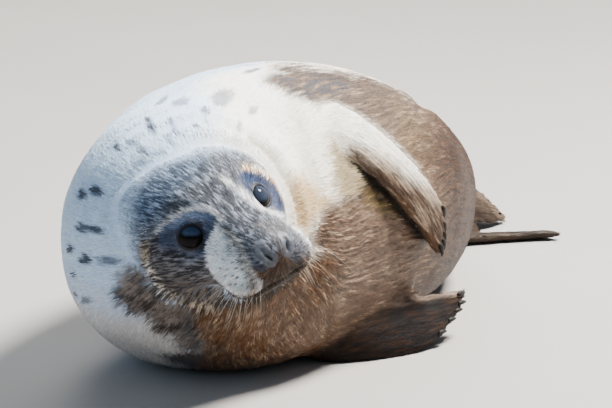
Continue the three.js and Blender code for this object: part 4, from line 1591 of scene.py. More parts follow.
    def _shape_face(self) -> None:
        """Shapes lids, nostrils, lips, pads, brows and ears."""
        points = points_of(self.mesh)
        normals = normals_of(self.mesh)
        q = HEAD.local(points)
        m = folded(q)
        head = self._head_share()
        rise = np.zeros(len(q))

        def groove(line: Sequence[Sequence[float]], depth: float, width: float, lips: float = 0.0) -> None:
            """A furrow along a line, with raised lips beside it."""
            d = to_line(m, line)[0]
            rise[:] -= depth * bell(d, width)
            rise[:] += lips * bell(d - 2.1 * width, 1.1 * width)

        def swell(at: Place, reach: float, height: float) -> None:
            """A soft rise or hollow on both sides."""
            rise[:] += height * np.exp(-((m - np.array(at)) ** 2).sum(1) / reach**2)

        groove(PHILTRUM, 2.2, 1.8, 0.5)
        groove(MOUTH, 2.8, 1.9, 0.25)
        swell((84, 24, -20), 8, 1.4)  # wing of the nostril
        swell((66, 40, -36), 16, 3.4)  # middle of the pad
        groove(((30, 48, -6), (27, 56, -26), (30, 58, -46)), 3.0, 4.5)  # behind the pad
        swell((44, 40, -16), 16, 1.0)
        swell((34, 0, 12), 14, -1.4)  # stop
        swell((4, 26, 30), 12, 1.6)  # brow
        swell((-18, 36, 32), 12, 1.2)
        swell((-26, 66, -10), 22, 1.2)  # cheekbone
        d = np.linalg.norm(m - np.array(self.ear_mm), axis=1)
        rise -= 3.2 * bell(d, 3.0) - 0.9 * bell(d - 6.5, 3)
        rise += head * 0.22 * value_noise(q, 5, 21) + head * 0.35 * value_noise(q, 13, 22)
        points = points + normals * (rise * head * MM)[:, None]
        # Nostrils run in under the skin, towards the back.
        q = HEAD.local(points)
        m = folded(q)
        d, share = to_line(m, NOSTRIL)
        self.nostril_gap = d
        self.lip_gap = to_line(m, MOUTH)[0]
        slit = bell(d, 1.5 + 0.6 * np.sin(math.pi * share))
        points = points - normals * (self.nostril_depth_mm * slit * head * MM)[:, None]
        d = to_line(m, np.array(NOSTRIL) + np.array([0, 4.2, 1.5]))[0]
        points = points + normals * (0.6 * bell(d, 2.6) * head * MM)[:, None]
        self._move(points)
        # Lids: the skin wraps each eyeball and sinks behind it inside the opening.
        points = points_of(self.mesh)
        q = HEAD.local(points)
        r, off, turn = EYE.polar(q)
        gap = off - EYE.opening(turn)
        lid = np.interp(gap, LID_ANGLES_DEG, LID_HEIGHTS_MM)
        share = ramp(gap, 34, 14) * ramp(r, 33, 25)
        wanted = r + (EYE.radius_mm + lid - r) * share
        centre = np.where(q[:, 1:2] < 0, EYE.centre(-1), EYE.centre(1))
        moved = centre + (q - centre) * (wanted / np.maximum(r, 1e-6))[:, None]
        self._move(HEAD.world(np.where((share > 0)[:, None], moved, q)))
        self.gap = np.where(r < 30, gap, 90.0)

    def _shape_neck(self) -> None:
        """Presses the folds of the turned neck and the soft rolls of blubber into the trunk."""
        points = points_of(self.mesh)
        normals = normals_of(self.mesh)
        p, q = points / MM, HEAD.local(points)
        trunk = ramp(self._share(Part.TRUNK), 0.4, 0.95)
        gap = self.head_gap + 3.5 * value_noise(p, 34, 31)
        turned = 0.45 + 0.55 * ramp(q[:, 1], -60, 20)
        wave = np.cos(2 * math.pi * (gap - 13) / 21) * np.exp(-gap / 46) * ramp(gap, 2, 10)
        rise = 2.3 * wave * turned * (1 + 0.3 * value_noise(p, 26, 32))
        rise -= 2.6 * bell(self.head_gap - 1.5, 4.5)
        rise += 0.9 * value_noise(p, 60, 33) + 0.45 * value_noise(p, 24, 34)
        view, seen = FRONT.places(points), FRONT.facing(points, normals)
        front = ramp(seen, 0.0, 0.3)
        notch = np.linalg.norm(view - np.array([124, 108]), axis=1)
        rim = ramp(np.abs(seen), 0.75, 0.35) * ramp(p[:, 2], 150, 190)
        rise += rim * (0.7 * bell(notch - 20, 10) - 3.4 * bell(notch, 9))
        for fold in FOLDS:
            gap, share = to_line(view, fold.line)
            depth, width = fold.depth_mm, fold.width_mm
            rise -= depth * bell(gap, width) * np.sin(math.pi * (0.1 + 0.8 * share)) * front
            rise += 0.6 * depth * bell(gap - 2.2 * width, 1.2 * width) * front
        self._move(points + normals * (rise * trunk * MM)[:, None])

    def _slim_limbs(self) -> None:
        """Draws the flippers in to their living shape."""
        points = points_of(self.mesh)
        for part in LIMBS[:-1]:
            share = ramp(self._share(part), 0.1, 0.9)
            points = mix(points, living(points, part), share)
        self._move(points)

    def _part_flipper(self) -> None:
        """Sinks the deep gap between the left flipper's lower edge and the belly."""
        points = points_of(self.mesh)
        normals = normals_of(self.mesh)
        gap, share = to_line(FRONT.places(points), CREVICE)
        place = ramp(points[:, 1], 0.11, 0.07) * ramp(points[:, 2], 0.08, 0.095)
        place = place * ramp(FRONT.facing(points, normals), -0.3, 0.1)
        deep = bell(gap, self.crevice_width_mm) * ramp(share, 0.0, 0.25) * ramp(share, 1.03, 0.92)
        push = (self.crevice_depth_mm * deep * place * MM)[:, None]
        self._move(points + np.array(self.crevice_way) * push)

    def _shape_digits(self) -> None:
        """Raises the five digits of each flipper, with hollows for the webs between them."""
        points = points_of(self.mesh)
        normals = normals_of(self.mesh)
        p = points / MM
        rise = np.zeros(len(p))
        self.digits: dict[Part, list[tuple[Array, Array]]] = {}
        self.slits: list[Array] = []
        for part in LIMBS[:-1]:
            name = part.value[0]
            tips = np.array([[(a + b) / 2 for a, b in zip(*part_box(f"{name}_claw_{i}"))] for i in range(1, 6)])
            tips = list(living(tips, part) / MM)
            mine = points[self._share(part) > 0.6] / MM
            middle_tip = np.mean(tips, axis=0)
            farthest = np.argsort(-np.linalg.norm(mine - middle_tip, axis=1))
            far = mine[farthest[: max(10, len(mine) // 6)]].mean(0)
            wrist = far * 0.55 + middle_tip * 0.45
            self.digits[part] = [(far, wrist), *[(wrist, tip) for tip in tips]]
            for one, two in zip(tips, tips[1:]):
                end = (one + two) / 2 + 2 * unit(middle_tip - far)
                self.slits.append(np.array([end, end - 15 * unit(end - wrist)]))
            share = ramp(self._share(part), 0.5, 0.95)
            length = np.linalg.norm(middle_tip - far)
            away = np.clip(1 - np.linalg.norm(p - middle_tip, axis=1) / (0.62 * length), 0, 1) ** 0.6
            ridge = np.zeros(len(p))
            for tip in tips:
                spread = wrist + (tip - middle_tip) * 0.55
                ridge = np.maximum(ridge, bell(to_line(p, (spread, tip))[0], self.digit_width_mm))
            rise += share * away * (self.digit_rise_mm * ridge - self.web_drop_mm)
        limb = self._limb_shares().max(1)
        rise += ramp(limb, 0.5, 0.9) * (0.5 * value_noise(p, 14, 41) + 0.25 * value_noise(p, 6, 42))
        self._move(points + normals * (rise * MM)[:, None])

    def _clear_floor(self) -> None:
        """Keeps the skin just above the floor, flat where the body rests on it."""
        points = points_of(self.mesh)
        points[:, 2] = np.maximum(points[:, 2], self.floor_gap)
        self._move(points)

    def _limb_way(self, part: Part) -> Array:
        """The direction from a limb's root to its end."""
        if part is Part.TAIL:
            return unit(np.array(self.tail_way))
        far = self.digits[part][0][0]
        return unit(np.mean([tip for _, tip in self.digits[part][1:]], axis=0) - far)

    def _lie(self, points: Array, normals: Array) -> Array:
        """The lie of the coat: nose to tail, and from each flipper's root to its claws."""
        p, q = points / MM, HEAD.local(points)
        flow = TRUNK_LINE.beside(p, 40)[2]
        back = HEAD.turn(unit(q - np.array(self.nose_tip_mm) + np.array([-14.0, 0, 4])))
        near_head = np.exp(-self.head_gap / 38)[:, None]
        flow = unit(flow * (1 - near_head) + back * near_head)
        # Below the cheek the hair hangs away from the eye, down over the throat.
        view = FRONT.places(points)
        ruff = np.maximum(bell(to_line(view, FRINGE)[0], 12), ramp(inside_outline(view, THROAT), -12, 6))
        ruff = np.maximum(ruff, ramp(inside_outline(view, GREY_FOLD), -8, 4))
        ruff = ruff * ramp(FRONT.facing(points, normals), -0.4, -0.05) * ramp(p[:, 1], 40, -10)
        self.ruff = ruff * (1 - self._limb_shares().sum(1))
        hang = unit(view - np.array(self.ruff_middle))
        hang = hang[:, :1] * np.array([1.0, 0, 0]) + hang[:, 1:] * np.array(FRONT.above)
        flow = unit(mix(flow, hang, self.ruff))
        for part in LIMBS:
            w = self._share(part)[:, None]
            flow = unit(flow * (1 - w) + self._limb_way(part) * w)
        bend = np.stack([value_noise(p, 45, s) for s in (51, 52, 53)], 1)
        flow = unit(flow + 0.13 * bend)
        flow -= normals * (flow * normals).sum(1, keepdims=True)
        return unit(flow)

    def _comb(self, points: Array) -> tuple[Array, Array]:
        """Places that change slowly along the lie of the coat and fast across it, for the body and the head.

        Args:
            points: the skin's vertices.

        Returns:
            The two places of each vertex, in metres.
        """
        p, q = points / MM, HEAD.local(points)
        at, middle, ahead = TRUNK_LINE.beside(p, 50)
        side = unit(np.cross(ahead, np.array([0, 0, 1.0])))
        third = np.cross(side, ahead)
        wave = 2.2 * value_noise(p, 24, 81) + 5.0 * value_noise(p, 70, 82)
        out = p - middle
        comb = np.stack([0.13 * at, (out * side).sum(1) + wave, (out * third).sum(1) + wave], 1)
        for part in LIMBS:
            mine = self._share(part) > 0.5
            along = self._limb_way(part)
            comb[mine] = (p - 0.86 * (p @ along)[:, None] * along)[mine]
        v = q - np.array(self.nose_tip_mm)
        far = np.linalg.norm(v, axis=1, keepdims=True)
        wave = 0.9 * value_noise(q, 9, 83) + 2.2 * value_noise(q, 26, 84)
        face = v / np.maximum(far, 1) * 85 + 0.08 * far + wave[:, None]
        v = FRONT.places(points) - np.array(self.ruff_middle)
        around = np.arctan2(v[:, 0], -v[:, 1]) * 90 + wave
        turned = np.stack([around, 0.1 * np.linalg.norm(v, axis=1), 0 * wave], 1)
        hangs = self.ruff > 0.5
        comb[hangs], face[hangs] = turned[hangs], turned[hangs]
        return comb * MM, face * MM

    def _fields(self) -> None:
        """Works out normals, the lie of the coat, tones and where the coat grows."""
        points, normals = points_of(self.mesh), normals_of(self.mesh)
        edges = edges_of(self.mesh)
        flow = self._lie(points, normals)
        flow = smoothed(flow, edges, 6)
        flow = unit(flow - normals * (flow * normals).sum(1, keepdims=True))
        self.points, self.normals, self.flow = points, normals, flow
        q = HEAD.local(points)
        m = folded(q)
        head = self._head_share()
        markings = Markings(slits=self.slits)
        t = markings.tones
        tone, wet = markings.at(points, normals, flow, self.weights)
        d = self.nostril_gap + 1.4 * value_noise(q, 5, 61)
        self.nose = head * ramp(d, 10.0, 7.5) * ramp(q[:, 0], 66, 76)
        far_side = ramp(q[:, 1], 2, 8)
        hole = head * ramp(self.nostril_gap + 0.7 * far_side, 2.9, 1.5)
        line = 0.75 * head * ramp(self.lip_gap, 2.6, 0.8)
        ear = head * ramp(np.linalg.norm(m - np.array(self.ear_mm), axis=1), 3.4, 1.6)
        lids = head * ramp(self.gap, 10, 3)
        slate = np.array(t.leather) * (1 + 0.5 * value_noise(q, 3, 62))[:, None]
        tone = mix(tone, slate, 0.8 * self.nose)
        ring = head * ramp(self.gap, 4, 8) * ramp(self.gap, 20, 13)
        tone = mix(tone, t.eye_ring, 0.55 * ring)
        tone = mix(tone, t.lid, 0.9 * lids)
        # Painted shade: the nostrils, the mouth's line and the ear holes are toned near black.
        tone = mix(tone, t.opening, np.clip(hole + line + ear, 0, 1) * 0.97)
        wet = np.maximum(wet, np.clip(lids + self.nose + line, 0, 1) * 0.8)
        self.bare = np.clip(1.1 * hole + line + ear + head * ramp(self.gap, 4.5, 2.0) + self.nose, 0, 1)
        write_attribute(self.mesh, "Tint", tone)
        write_attribute(self.mesh, "Wet", wet)
        write_attribute(self.mesh, "Face", ramp(self._share(Part.HEAD), 0.2, 0.8))
        write_attribute(self.mesh, "Hole", hole)
        body, face = self._comb(points)
        write_places(self.mesh, "Comb", smoothed(body, edges, 3))
        write_places(self.mesh, "CombFace", face)

    def unwrap(self) -> tuple[Array, Array, Array]:
        """Lays the skin out flat.

        Returns:
            The vertices of each triangle, its corners' places on the layout, and its area.
        """
        obj = bpy.data.objects.new("layout", self.mesh)
        bpy.context.scene.collection.objects.link(obj)
        self.mesh.uv_layers.new(name="Layout")
        bpy.context.view_layer.objects.active = obj
        obj.select_set(True)
        bpy.ops.object.mode_set(mode="EDIT")
        bpy.ops.mesh.select_all(action="SELECT")
        bpy.ops.uv.smart_project(angle_limit=math.radians(66), island_margin=0.002)
        bpy.ops.object.mode_set(mode="OBJECT")
        self.mesh.calc_loop_triangles()
        count = len(self.mesh.loop_triangles)
        corners, loops = np.empty(count * 3, np.int32), np.empty(count * 3, np.int32)
        self.mesh.loop_triangles.foreach_get("vertices", corners)
        self.mesh.loop_triangles.foreach_get("loops", loops)
        uv = np.empty(len(self.mesh.loops) * 2, np.float32)
        self.mesh.uv_layers["Layout"].uv.foreach_get("vector", uv)
        corners, loops = corners.reshape(-1, 3), loops.reshape(-1, 3)
        places = uv.reshape(-1, 2)[loops]
        a, b, c = (self.points[corners[:, k]] for k in range(3))
        area = np.linalg.norm(np.cross(b - a, c - a), axis=1) / 2
        self.mesh.uv_layers.remove(self.mesh.uv_layers["Layout"])
        bpy.data.objects.remove(obj)
        return corners, places, area

    def show(self) -> bpy.types.Object:
        """Makes the skin's piece."""
        names = [name for part in PARTS for name in part.value if name != "nose"]
        return piece("skin", self.mesh, SkinFinish().build(), names)

    def nose_leather(self) -> bpy.types.Object:
        """Lays a thin leather over the bare nose, its edge tucked under the coat."""
        bm = bmesh.new()
        bm.from_mesh(self.mesh)
        bm.verts.ensure_lookup_table()
        order = [v.index for v in bm.verts if self.nose[v.index] >= self.leather_from]
        away = [v for v in bm.verts if self.nose[v.index] < self.leather_from]
        bmesh.ops.delete(bm, geom=away, context="VERTS")
        for vertex, i in zip(bm.verts, order):
            vertex.co += Vector(self.normals[i]) * (0.45 * self.nose[i] - 0.25) * MM
        bmesh.ops.solidify(bm, geom=bm.faces[:], thickness=self.leather_thickness)
        bmesh.ops.recalc_face_normals(bm, faces=bm.faces)
        return piece("nose_leather", mesh_of(bm, "nose_leather"), LeatherFinish().build(), ["nose"])


# ---- Coat --------------------------------------------------------------------------------------------------
@dataclass(frozen=True)
class Tufts:
    """Tufts of one part: length, width and lift in millimetres, and how many lie over each place."""

    length: float
    width: float
    lift: float
    layers: float


TUFTS = {
    Part.TRUNK: Tufts(10.0, 1.25, 0.7, 0.95),
    Part.HEAD: Tufts(5.6, 0.80, 0.55, 1.9),
    Part.FOREFLIPPER_LEFT: Tufts(6.5, 1.0, 0.5, 1.3),
    Part.FOREFLIPPER_RIGHT: Tufts(6.5, 1.0, 0.5, 1.3),
    Part.HINDFLIPPER_LEFT: Tufts(6.0, 1.1, 0.5, 1.0),
    Part.HINDFLIPPER_RIGHT: Tufts(6.0, 1.1, 0.5, 1.0),
    Part.TAIL: Tufts(6.5, 1.2, 0.5, 1.1),
}


@dataclass
class Coat:
    """Short tufts that lie flat over the skin, each a thin closed blade with a raised middle."""

    skin: Skin
    most_per_piece: int = 32000
    quick_share: float = 0.3
    patch: float = 0.003
    seed: int = 4182

    def __post_init__(self) -> None:
        """Scatters the tufts over the skin."""
        self.rng = np.random.default_rng(self.seed)
        self.material = TuftFinish().build()
        self._scatter()
        self._shape()

    def _style(self, pick: Callable[[Tufts], float], weights: Array) -> Array:
        """One measure of the tufts, blended between the parts."""
        return weights @ np.array([pick(TUFTS[part]) for part in PARTS])

    def _scatter(self) -> None:
        """Picks roots over the skin, denser where the tufts are smaller."""
        skin, rng = self.skin, self.rng
        corners, places, area = skin.unwrap()
        length = self._style(lambda t: t.length, skin.weights)
        width = self._style(lambda t: t.width, skin.weights)
        layers = self._style(lambda t: t.layers, skin.weights)
        density = layers / (0.5 * length * width * MM * MM) * (1 - skin.bare)
        hidden = ramp(skin.points[:, 2], 5 * MM, 1.2 * MM) * ramp(-skin.normals[:, 2], 0.6, 0.9)
        density = density * (1 - hidden)
        wanted = area * density[corners].mean(1)
        total = np.cumsum(wanted)
        count = int(total[-1] * (1))
        rows = np.searchsorted(total, rng.random(count) * total[-1])
        shares = rng.dirichlet((1, 1, 1), count)

        def spread(values: Array) -> Array:
            """Values of the vertices at the roots."""
            picked = values[corners[rows]]
            return (picked * (shares if picked.ndim == 2 else shares[..., None])).sum(1)

        self.roots = spread(skin.points)
        self.normals = unit(spread(skin.normals))
        flow = spread(skin.flow)
        self.flow = unit(flow - self.normals * (flow * self.normals).sum(1, keepdims=True))
        self.weights = spread(skin.weights)
        self.bare = spread(skin.bare)
        self.gap = spread(skin.gap)
        self.uv = (places[rows] * shares[..., None]).sum(1)
        keep = self.bare < 0.5 + 0.2 * rng.random(count)
        for name in ("roots", "normals", "flow", "weights", "bare", "gap", "uv"):
            setattr(self, name, getattr(self, name)[keep])
        log.info("%d tufts", len(self.roots))

    def _locks(self, places: Array) -> Array:
        """Height of the damp locks of hair, from about -1 to 1, at places in millimetres."""
        wave = 1.3 * value_noise(places, 11, 73)[:, None] * np.cross(self.normals, self.flow)
        return streaks(places + wave, self.flow, 2.6, 11, 71)

    def _shape(self) -> None:
        """Sets every tuft's size, bend, lift and tone."""
        rng, n = self.rng, len(self.roots)
        p, q = self.roots / MM, HEAD.local(self.roots)
        tone, wet = Markings(slits=self.skin.slits).at(self.roots, self.normals, self.flow, self.weights)
        lock = self._locks(p)
        size = 0.72 + 0.56 * rng.random(n)
        self.length = self._style(lambda t: t.length, self.weights) * size
        self.width = self._style(lambda t: t.width, self.weights) * (0.75 + 0.5 * rng.random(n))
        raised = 0.55 + 0.7 * rng.random(n) + (0.5 + 0.4 * wet) * np.clip(lock, -1, 1)
        self.lift = self._style(lambda t: t.lift, self.weights) * raised
        head = self.weights[:, 1]
        near_eye = head * ramp(self.gap, 26, 10)
        nose = head * ramp(q[:, 0], 40, 80)
        shorter = (1 - 0.5 * near_eye) * (1 - 0.45 * nose)
        fringe = ramp(q[:, 2], -40, -56) * ramp(q[:, 0], 30, 0) * head
        self.length *= shorter * (1 + 0.9 * fringe)
        self.width *= 1 - 0.25 * near_eye
        self.lift *= (1 - 0.35 * near_eye) * (1 + 1.2 * fringe)
        swing = (0.03 + 0.12 * wet) * self.length * value_noise(p, 12, 72)
        self.bend = rng.normal(0, 0.06, n) * self.length + swing
        speckle = 0.26 * head * ramp(q[:, 2], -24, -10) * ramp(q[:, 0], 84, 70)
        # Tufts on raised locks are toned lighter and those in the hollows darker, more where damp: painted
        # light and shade on the locks, over random variation.
        light = 1 + (0.10 + speckle) * np.clip(rng.standard_normal(n), -2, 2) + 0.13 * np.clip(lock, -1, 1)
        lock_shading = 1 + wet * 0.70 * np.clip(lock, -1.2, 1.2)
        across = np.cross(self.normals, self.flow)
        self.tilt = 1.1 * wet * (self._locks(p + across) - self._locks(p - across)) * (1 - head)
        self.tone = np.clip(tone * (light * lock_shading)[:, None], 0.004, 0.93)
        self.wet = np.clip(wet * (0.8 + 0.4 * rng.random(n)), 0, 1)

    def _blades(self, rows: Array, name: str) -> bpy.types.Mesh:
        """Makes the mesh of some tufts.

        Args:
            rows: which tufts.
            name: the mesh's name.

        Returns:
            The mesh.
        """
        p, n, f = self.roots[rows], self.normals[rows], self.flow[rows]
        side = np.cross(n, f)
        length, width = self.length[rows, None] * MM, self.width[rows, None] * MM
        lift, bend = self.lift[rows, None] * MM, self.bend[rows, None] * MM
        root = p - n * 0.5 * MM
        middle = p + f * length * 0.42 + side * bend * 0.3 + n * lift * 0.62
        ridge = middle + n * width * 0.20
        left = middle - side * width / 2 - n * width * 0.08
        right = middle + side * width / 2 - n * width * 0.08
        tip = p + f * length + side * bend + n * lift
        points = np.stack([root, left, ridge, right, tip], 1)
        points[..., 2] = np.maximum(points[..., 2], 0.3 * MM + 0.05 * MM * np.arange(5))
        count = len(rows)
        faces = np.array([[0, 2, 3], [0, 1, 2], [2, 4, 3], [1, 4, 2], [0, 3, 1], [1, 3, 4]])
        corners = (np.arange(count)[:, None, None] * 5 + faces).reshape(-1)
        mesh = bpy.data.meshes.new(name)
        mesh.vertices.add(count * 5)
        mesh.vertices.foreach_set("co", points.ravel())
        mesh.loops.add(len(corners))
        mesh.loops.foreach_set("vertex_index", corners.astype(np.int32))
        mesh.polygons.add(count * 6)
        mesh.polygons.foreach_set("loop_start", np.arange(0, len(corners), 3, dtype=np.int32))
        layout = np.array([[0.0, 0.5], [0.45, 0.0], [0.45, 0.5], [0.45, 1.0], [1.0, 0.5]]) - 0.5
        uv = self.uv[rows][:, None, :] + layout[None] * self.patch
        uv = np.clip(uv, 0.0, 1.0)
        unwrapped = mesh.uv_layers.new(name="OFBake").uv
        unwrapped.foreach_set("vector", uv.reshape(-1, 2)[corners].astype(np.float32).ravel())
        mesh.update()
        shade = np.array([0.90, 0.97, 1.0, 0.97, 1.06])
        tone = np.clip(self.tone[rows][:, None, :] * shade[None, :, None], 0.003, 0.95)
        write_attribute(mesh, "Tint", tone.reshape(-1, 3))
        write_attribute(mesh, "Wet", np.repeat(self.wet[rows], 5))
        mesh.validate()
        turn = np.array([0.0, -0.45, 0.0, 0.45, 0.0])[None, :, None]
        tilt = self.tilt[rows, None, None]
        facing = unit(n[:, None, :] + side[:, None, :] * (turn - tilt) + 0.1 * f[:, None, :])
        mesh.shade_smooth()
        mesh.normals_split_custom_set_from_vertices(facing.reshape(-1, 3).tolist())
        return mesh

    def show(self) -> None:
        """Makes the coat's pieces, part by part and from head to tail."""
        owner = self.weights.argmax(1)
        groups = {"coat_head": owner == 1, "coat_trunk": owner == 0, "coat_limbs": owner > 1}
        for name, chosen in groups.items():
            rows = np.flatnonzero(chosen)
            rows = rows[np.argsort(self.roots[rows, 1], kind="stable")]
            pieces = max(1, math.ceil(len(rows) / self.most_per_piece))
            for i, chunk in enumerate(np.array_split(rows, pieces)):
                label = f"{name}_{i + 1}"
                piece(label, self._blades(chunk, label), self.material)


# ---- Eyes, claws and whiskers ------------------------------------------------------------------------------
@dataclass(frozen=True)
class PaintedSky:
    """The sky painted on one eye as a reflection: its tone, and how far up a mirrored direction points at its
    edge.
    """

    horizon: float
    painted_tone: Tone


@dataclass(frozen=True)
class Eyes:
    """Both eyeballs, each with its cornea, and the wet edges of their lids."""

    left_sky: PaintedSky = PaintedSky(-0.30, (0.030, 0.040, 0.062))
    right_sky: PaintedSky = PaintedSky(0.12, (0.036, 0.060, 0.112))
    bulge: float = 0.028
    bulge_angle: float = 0.55
    lid_steps: int = 72
    lid_sides: int = 8
    lid_half_height_mm: float = 0.75
    lid_half_width_mm: float = 1.25
    lid_tone: Tone = (0.008, 0.007, 0.008)
    # Pale tone of the wet tear line: a painted highlight.
    tear_glint_tone: Tone = (0.15, 0.135, 0.125)

    def show(self) -> None:
        """Makes the eyes and lid edges."""
        glass, edge = EyeFinish().build(), LidFinish().build()
        for name, side, sky in (("eye_left", 1, self.left_sky), ("eye_right", -1, self.right_sky)):
            axes = EYE.axes() * np.array([1, side, 1])
            self._ball(name, EYE.centre(side), axes[0], glass, sky)
            self._edge(name, EYE.centre(side), axes, edge)

    def _ball(
        self, name: str, centre: Array, gaze: Array, finish: bpy.types.Material, sky: PaintedSky
    ) -> None:
        """An eyeball with a slightly bulging cornea and a painted reflection of a blue-grey sky above a curved
        horizon.

        Args:
            name: the eye's node.
            centre: its middle on the head.
            gaze: where it looks, on the head.
            finish: its material.
            sky: the sky painted on it as a reflection.
        """
        bm = bmesh.new()
        bmesh.ops.create_uvsphere(bm, u_segments=64, v_segments=48, radius=EYE.radius_mm * MM)
        turn = Vector((0, 0, 1)).rotation_difference(Vector(HEAD.turn(gaze))).to_matrix().to_4x4()
        ring = []
        for vertex in bm.verts:
            off = vertex.co.angle(Vector((0, 0, 1)))
            vertex.co *= 1 + self.bulge * math.exp(-((off / self.bulge_angle) ** 4))
            ring.append(off)
        bmesh.ops.transform(bm, matrix=Matrix.Translation(Vector(HEAD.world(centre))) @ turn, verts=bm.verts)
        mesh = mesh_of(bm, name + "_ball")
        write_attribute(mesh, "Ring", np.array(ring))
        points, normals = points_of(mesh), normals_of(mesh)
        # Painted reflection: where the view mirrored off the cornea points above the horizon, the sky's tone
        # goes into the base colour.
        seen = unit(points / MM - np.array(FRONT.viewpoint_mm))
        mirrored = seen[:, 2] - 2 * (seen * normals).sum(1) * normals[:, 2]
        write_attribute(mesh, "PaintedSky", mirrored - sky.horizon)
        paler = 1.25 - 0.5 * ramp(mirrored, sky.horizon, 1.0)
        write_attribute(mesh, "SkyPaint", np.array(sky.painted_tone) * paler[:, None])
        piece(name + "_glass", mesh, finish, [name])

    def _edge(self, name: str, centre: Array, axes: Array, finish: bpy.types.Material) -> None:
        """A soft dark cord of lid round the opening, lying on the eyeball.

        Args:
            name: the eye's node.
            centre: the eyeball's middle on the head.
            axes: gaze, the direction towards the nose and the upward direction, as rows.
            finish: the cord's material.
        """
        gaze, inward, up = axes
        steps, sides = self.lid_steps, self.lid_sides
        bm = bmesh.new()
        rings, tones = [], []
        for i in range(steps):
            a = 2 * math.pi * i / steps
            off = math.radians(float(EYE.opening(np.array([a]))[0]) + 1.2)
            outward = inward * math.cos(a) + up * math.sin(a)
            along = gaze * math.cos(off) + outward * math.sin(off)
            across = outward * math.cos(off) - gaze * math.sin(off)
            middle = centre + along * (EYE.radius_mm + 0.35)
            ring = []
            for k in range(sides):
                b = 2 * math.pi * k / sides
                high, wide = self.lid_half_height_mm, self.lid_half_width_mm
                place = middle + (along * math.cos(b) * high + across * math.sin(b) * wide)
                ring.append(bm.verts.new(HEAD.world(place)))
                # Painted highlight: a pale strip of the lower cord stands in for light on the wet tear line.
                tear_glint = float(ramp(np.sin(a), -0.3, -0.6)) * (math.sin(b) > 0.3) * (math.cos(b) > -0.3)
                tones.append(mix(self.lid_tone, self.tear_glint_tone, tear_glint))
            rings.append(ring)
        for one, two in zip(rings, rings[1:] + rings[:1]):
            for k in range(sides):
                bm.faces.new((one[k], one[(k + 1) % sides], two[(k + 1) % sides], two[k]))
        bmesh.ops.recalc_face_normals(bm, faces=bm.faces)
        mesh = mesh_of(bm, name + "_lid")
        write_attribute(mesh, "Tint", np.array(tones))
        piece(name.replace("eye", "lid_edge"), mesh, finish)


# How far the claws sink into the digits, in millimetres, and how much larger they grow.
SEATS = {
    Part.FOREFLIPPER_LEFT: (6.0, 1.3),
    Part.FOREFLIPPER_RIGHT: (5.0, 1.1),
    Part.HINDFLIPPER_LEFT: (6.0, 0.9),
    Part.HINDFLIPPER_RIGHT: (3.0, 0.6),
}


@dataclass
class Claws:
    """The flippers' claws, rounded copies of the solids."""

    skin: Skin
    rounding: int = 2

    def show(self) -> None:
        """Makes one piece of claws for each flipper, seated in the digits' ends."""
        horn = HornFinish().build()
        for part in LIMBS[:-1]:
            flipper = part.value[0]
            names = [f"{flipper}_claw_{i}" for i in range(1, 6)]
            bm = bmesh.new()
            seat, scale = SEATS[part]
            for name, (wrist, tip) in zip(names, self.skin.digits[part][1:]):
                claw = joined([name], 0.5 * MM)
                bmesh.ops.recalc_face_normals(claw, faces=claw.faces)
                mesh = mesh_of(claw, name + "_seated")
                points = living(points_of(mesh), part)
                middle = points.mean(0)
                points = middle + (points - middle) * scale - unit(tip - wrist) * seat * MM
                mesh.vertices.foreach_set("co", points.ravel())
                bm.from_mesh(mesh)
                bpy.data.meshes.remove(mesh)
            obj = piece(f"claws_{flipper}", mesh_of(bm, f"claws_{flipper}"), horn, names)
            round_off = obj.modifiers.new("Rounding", "SUBSURF")
            round_off.levels = round_off.render_levels = self.rounding


@dataclass(frozen=True)
class Bristle:
    """One stiff hair: root and direction on the head, length, thickness, droop and tone."""

    root: Array
    way: Array
    length: float
    thickness: float
    droop: float
    tone: Tone


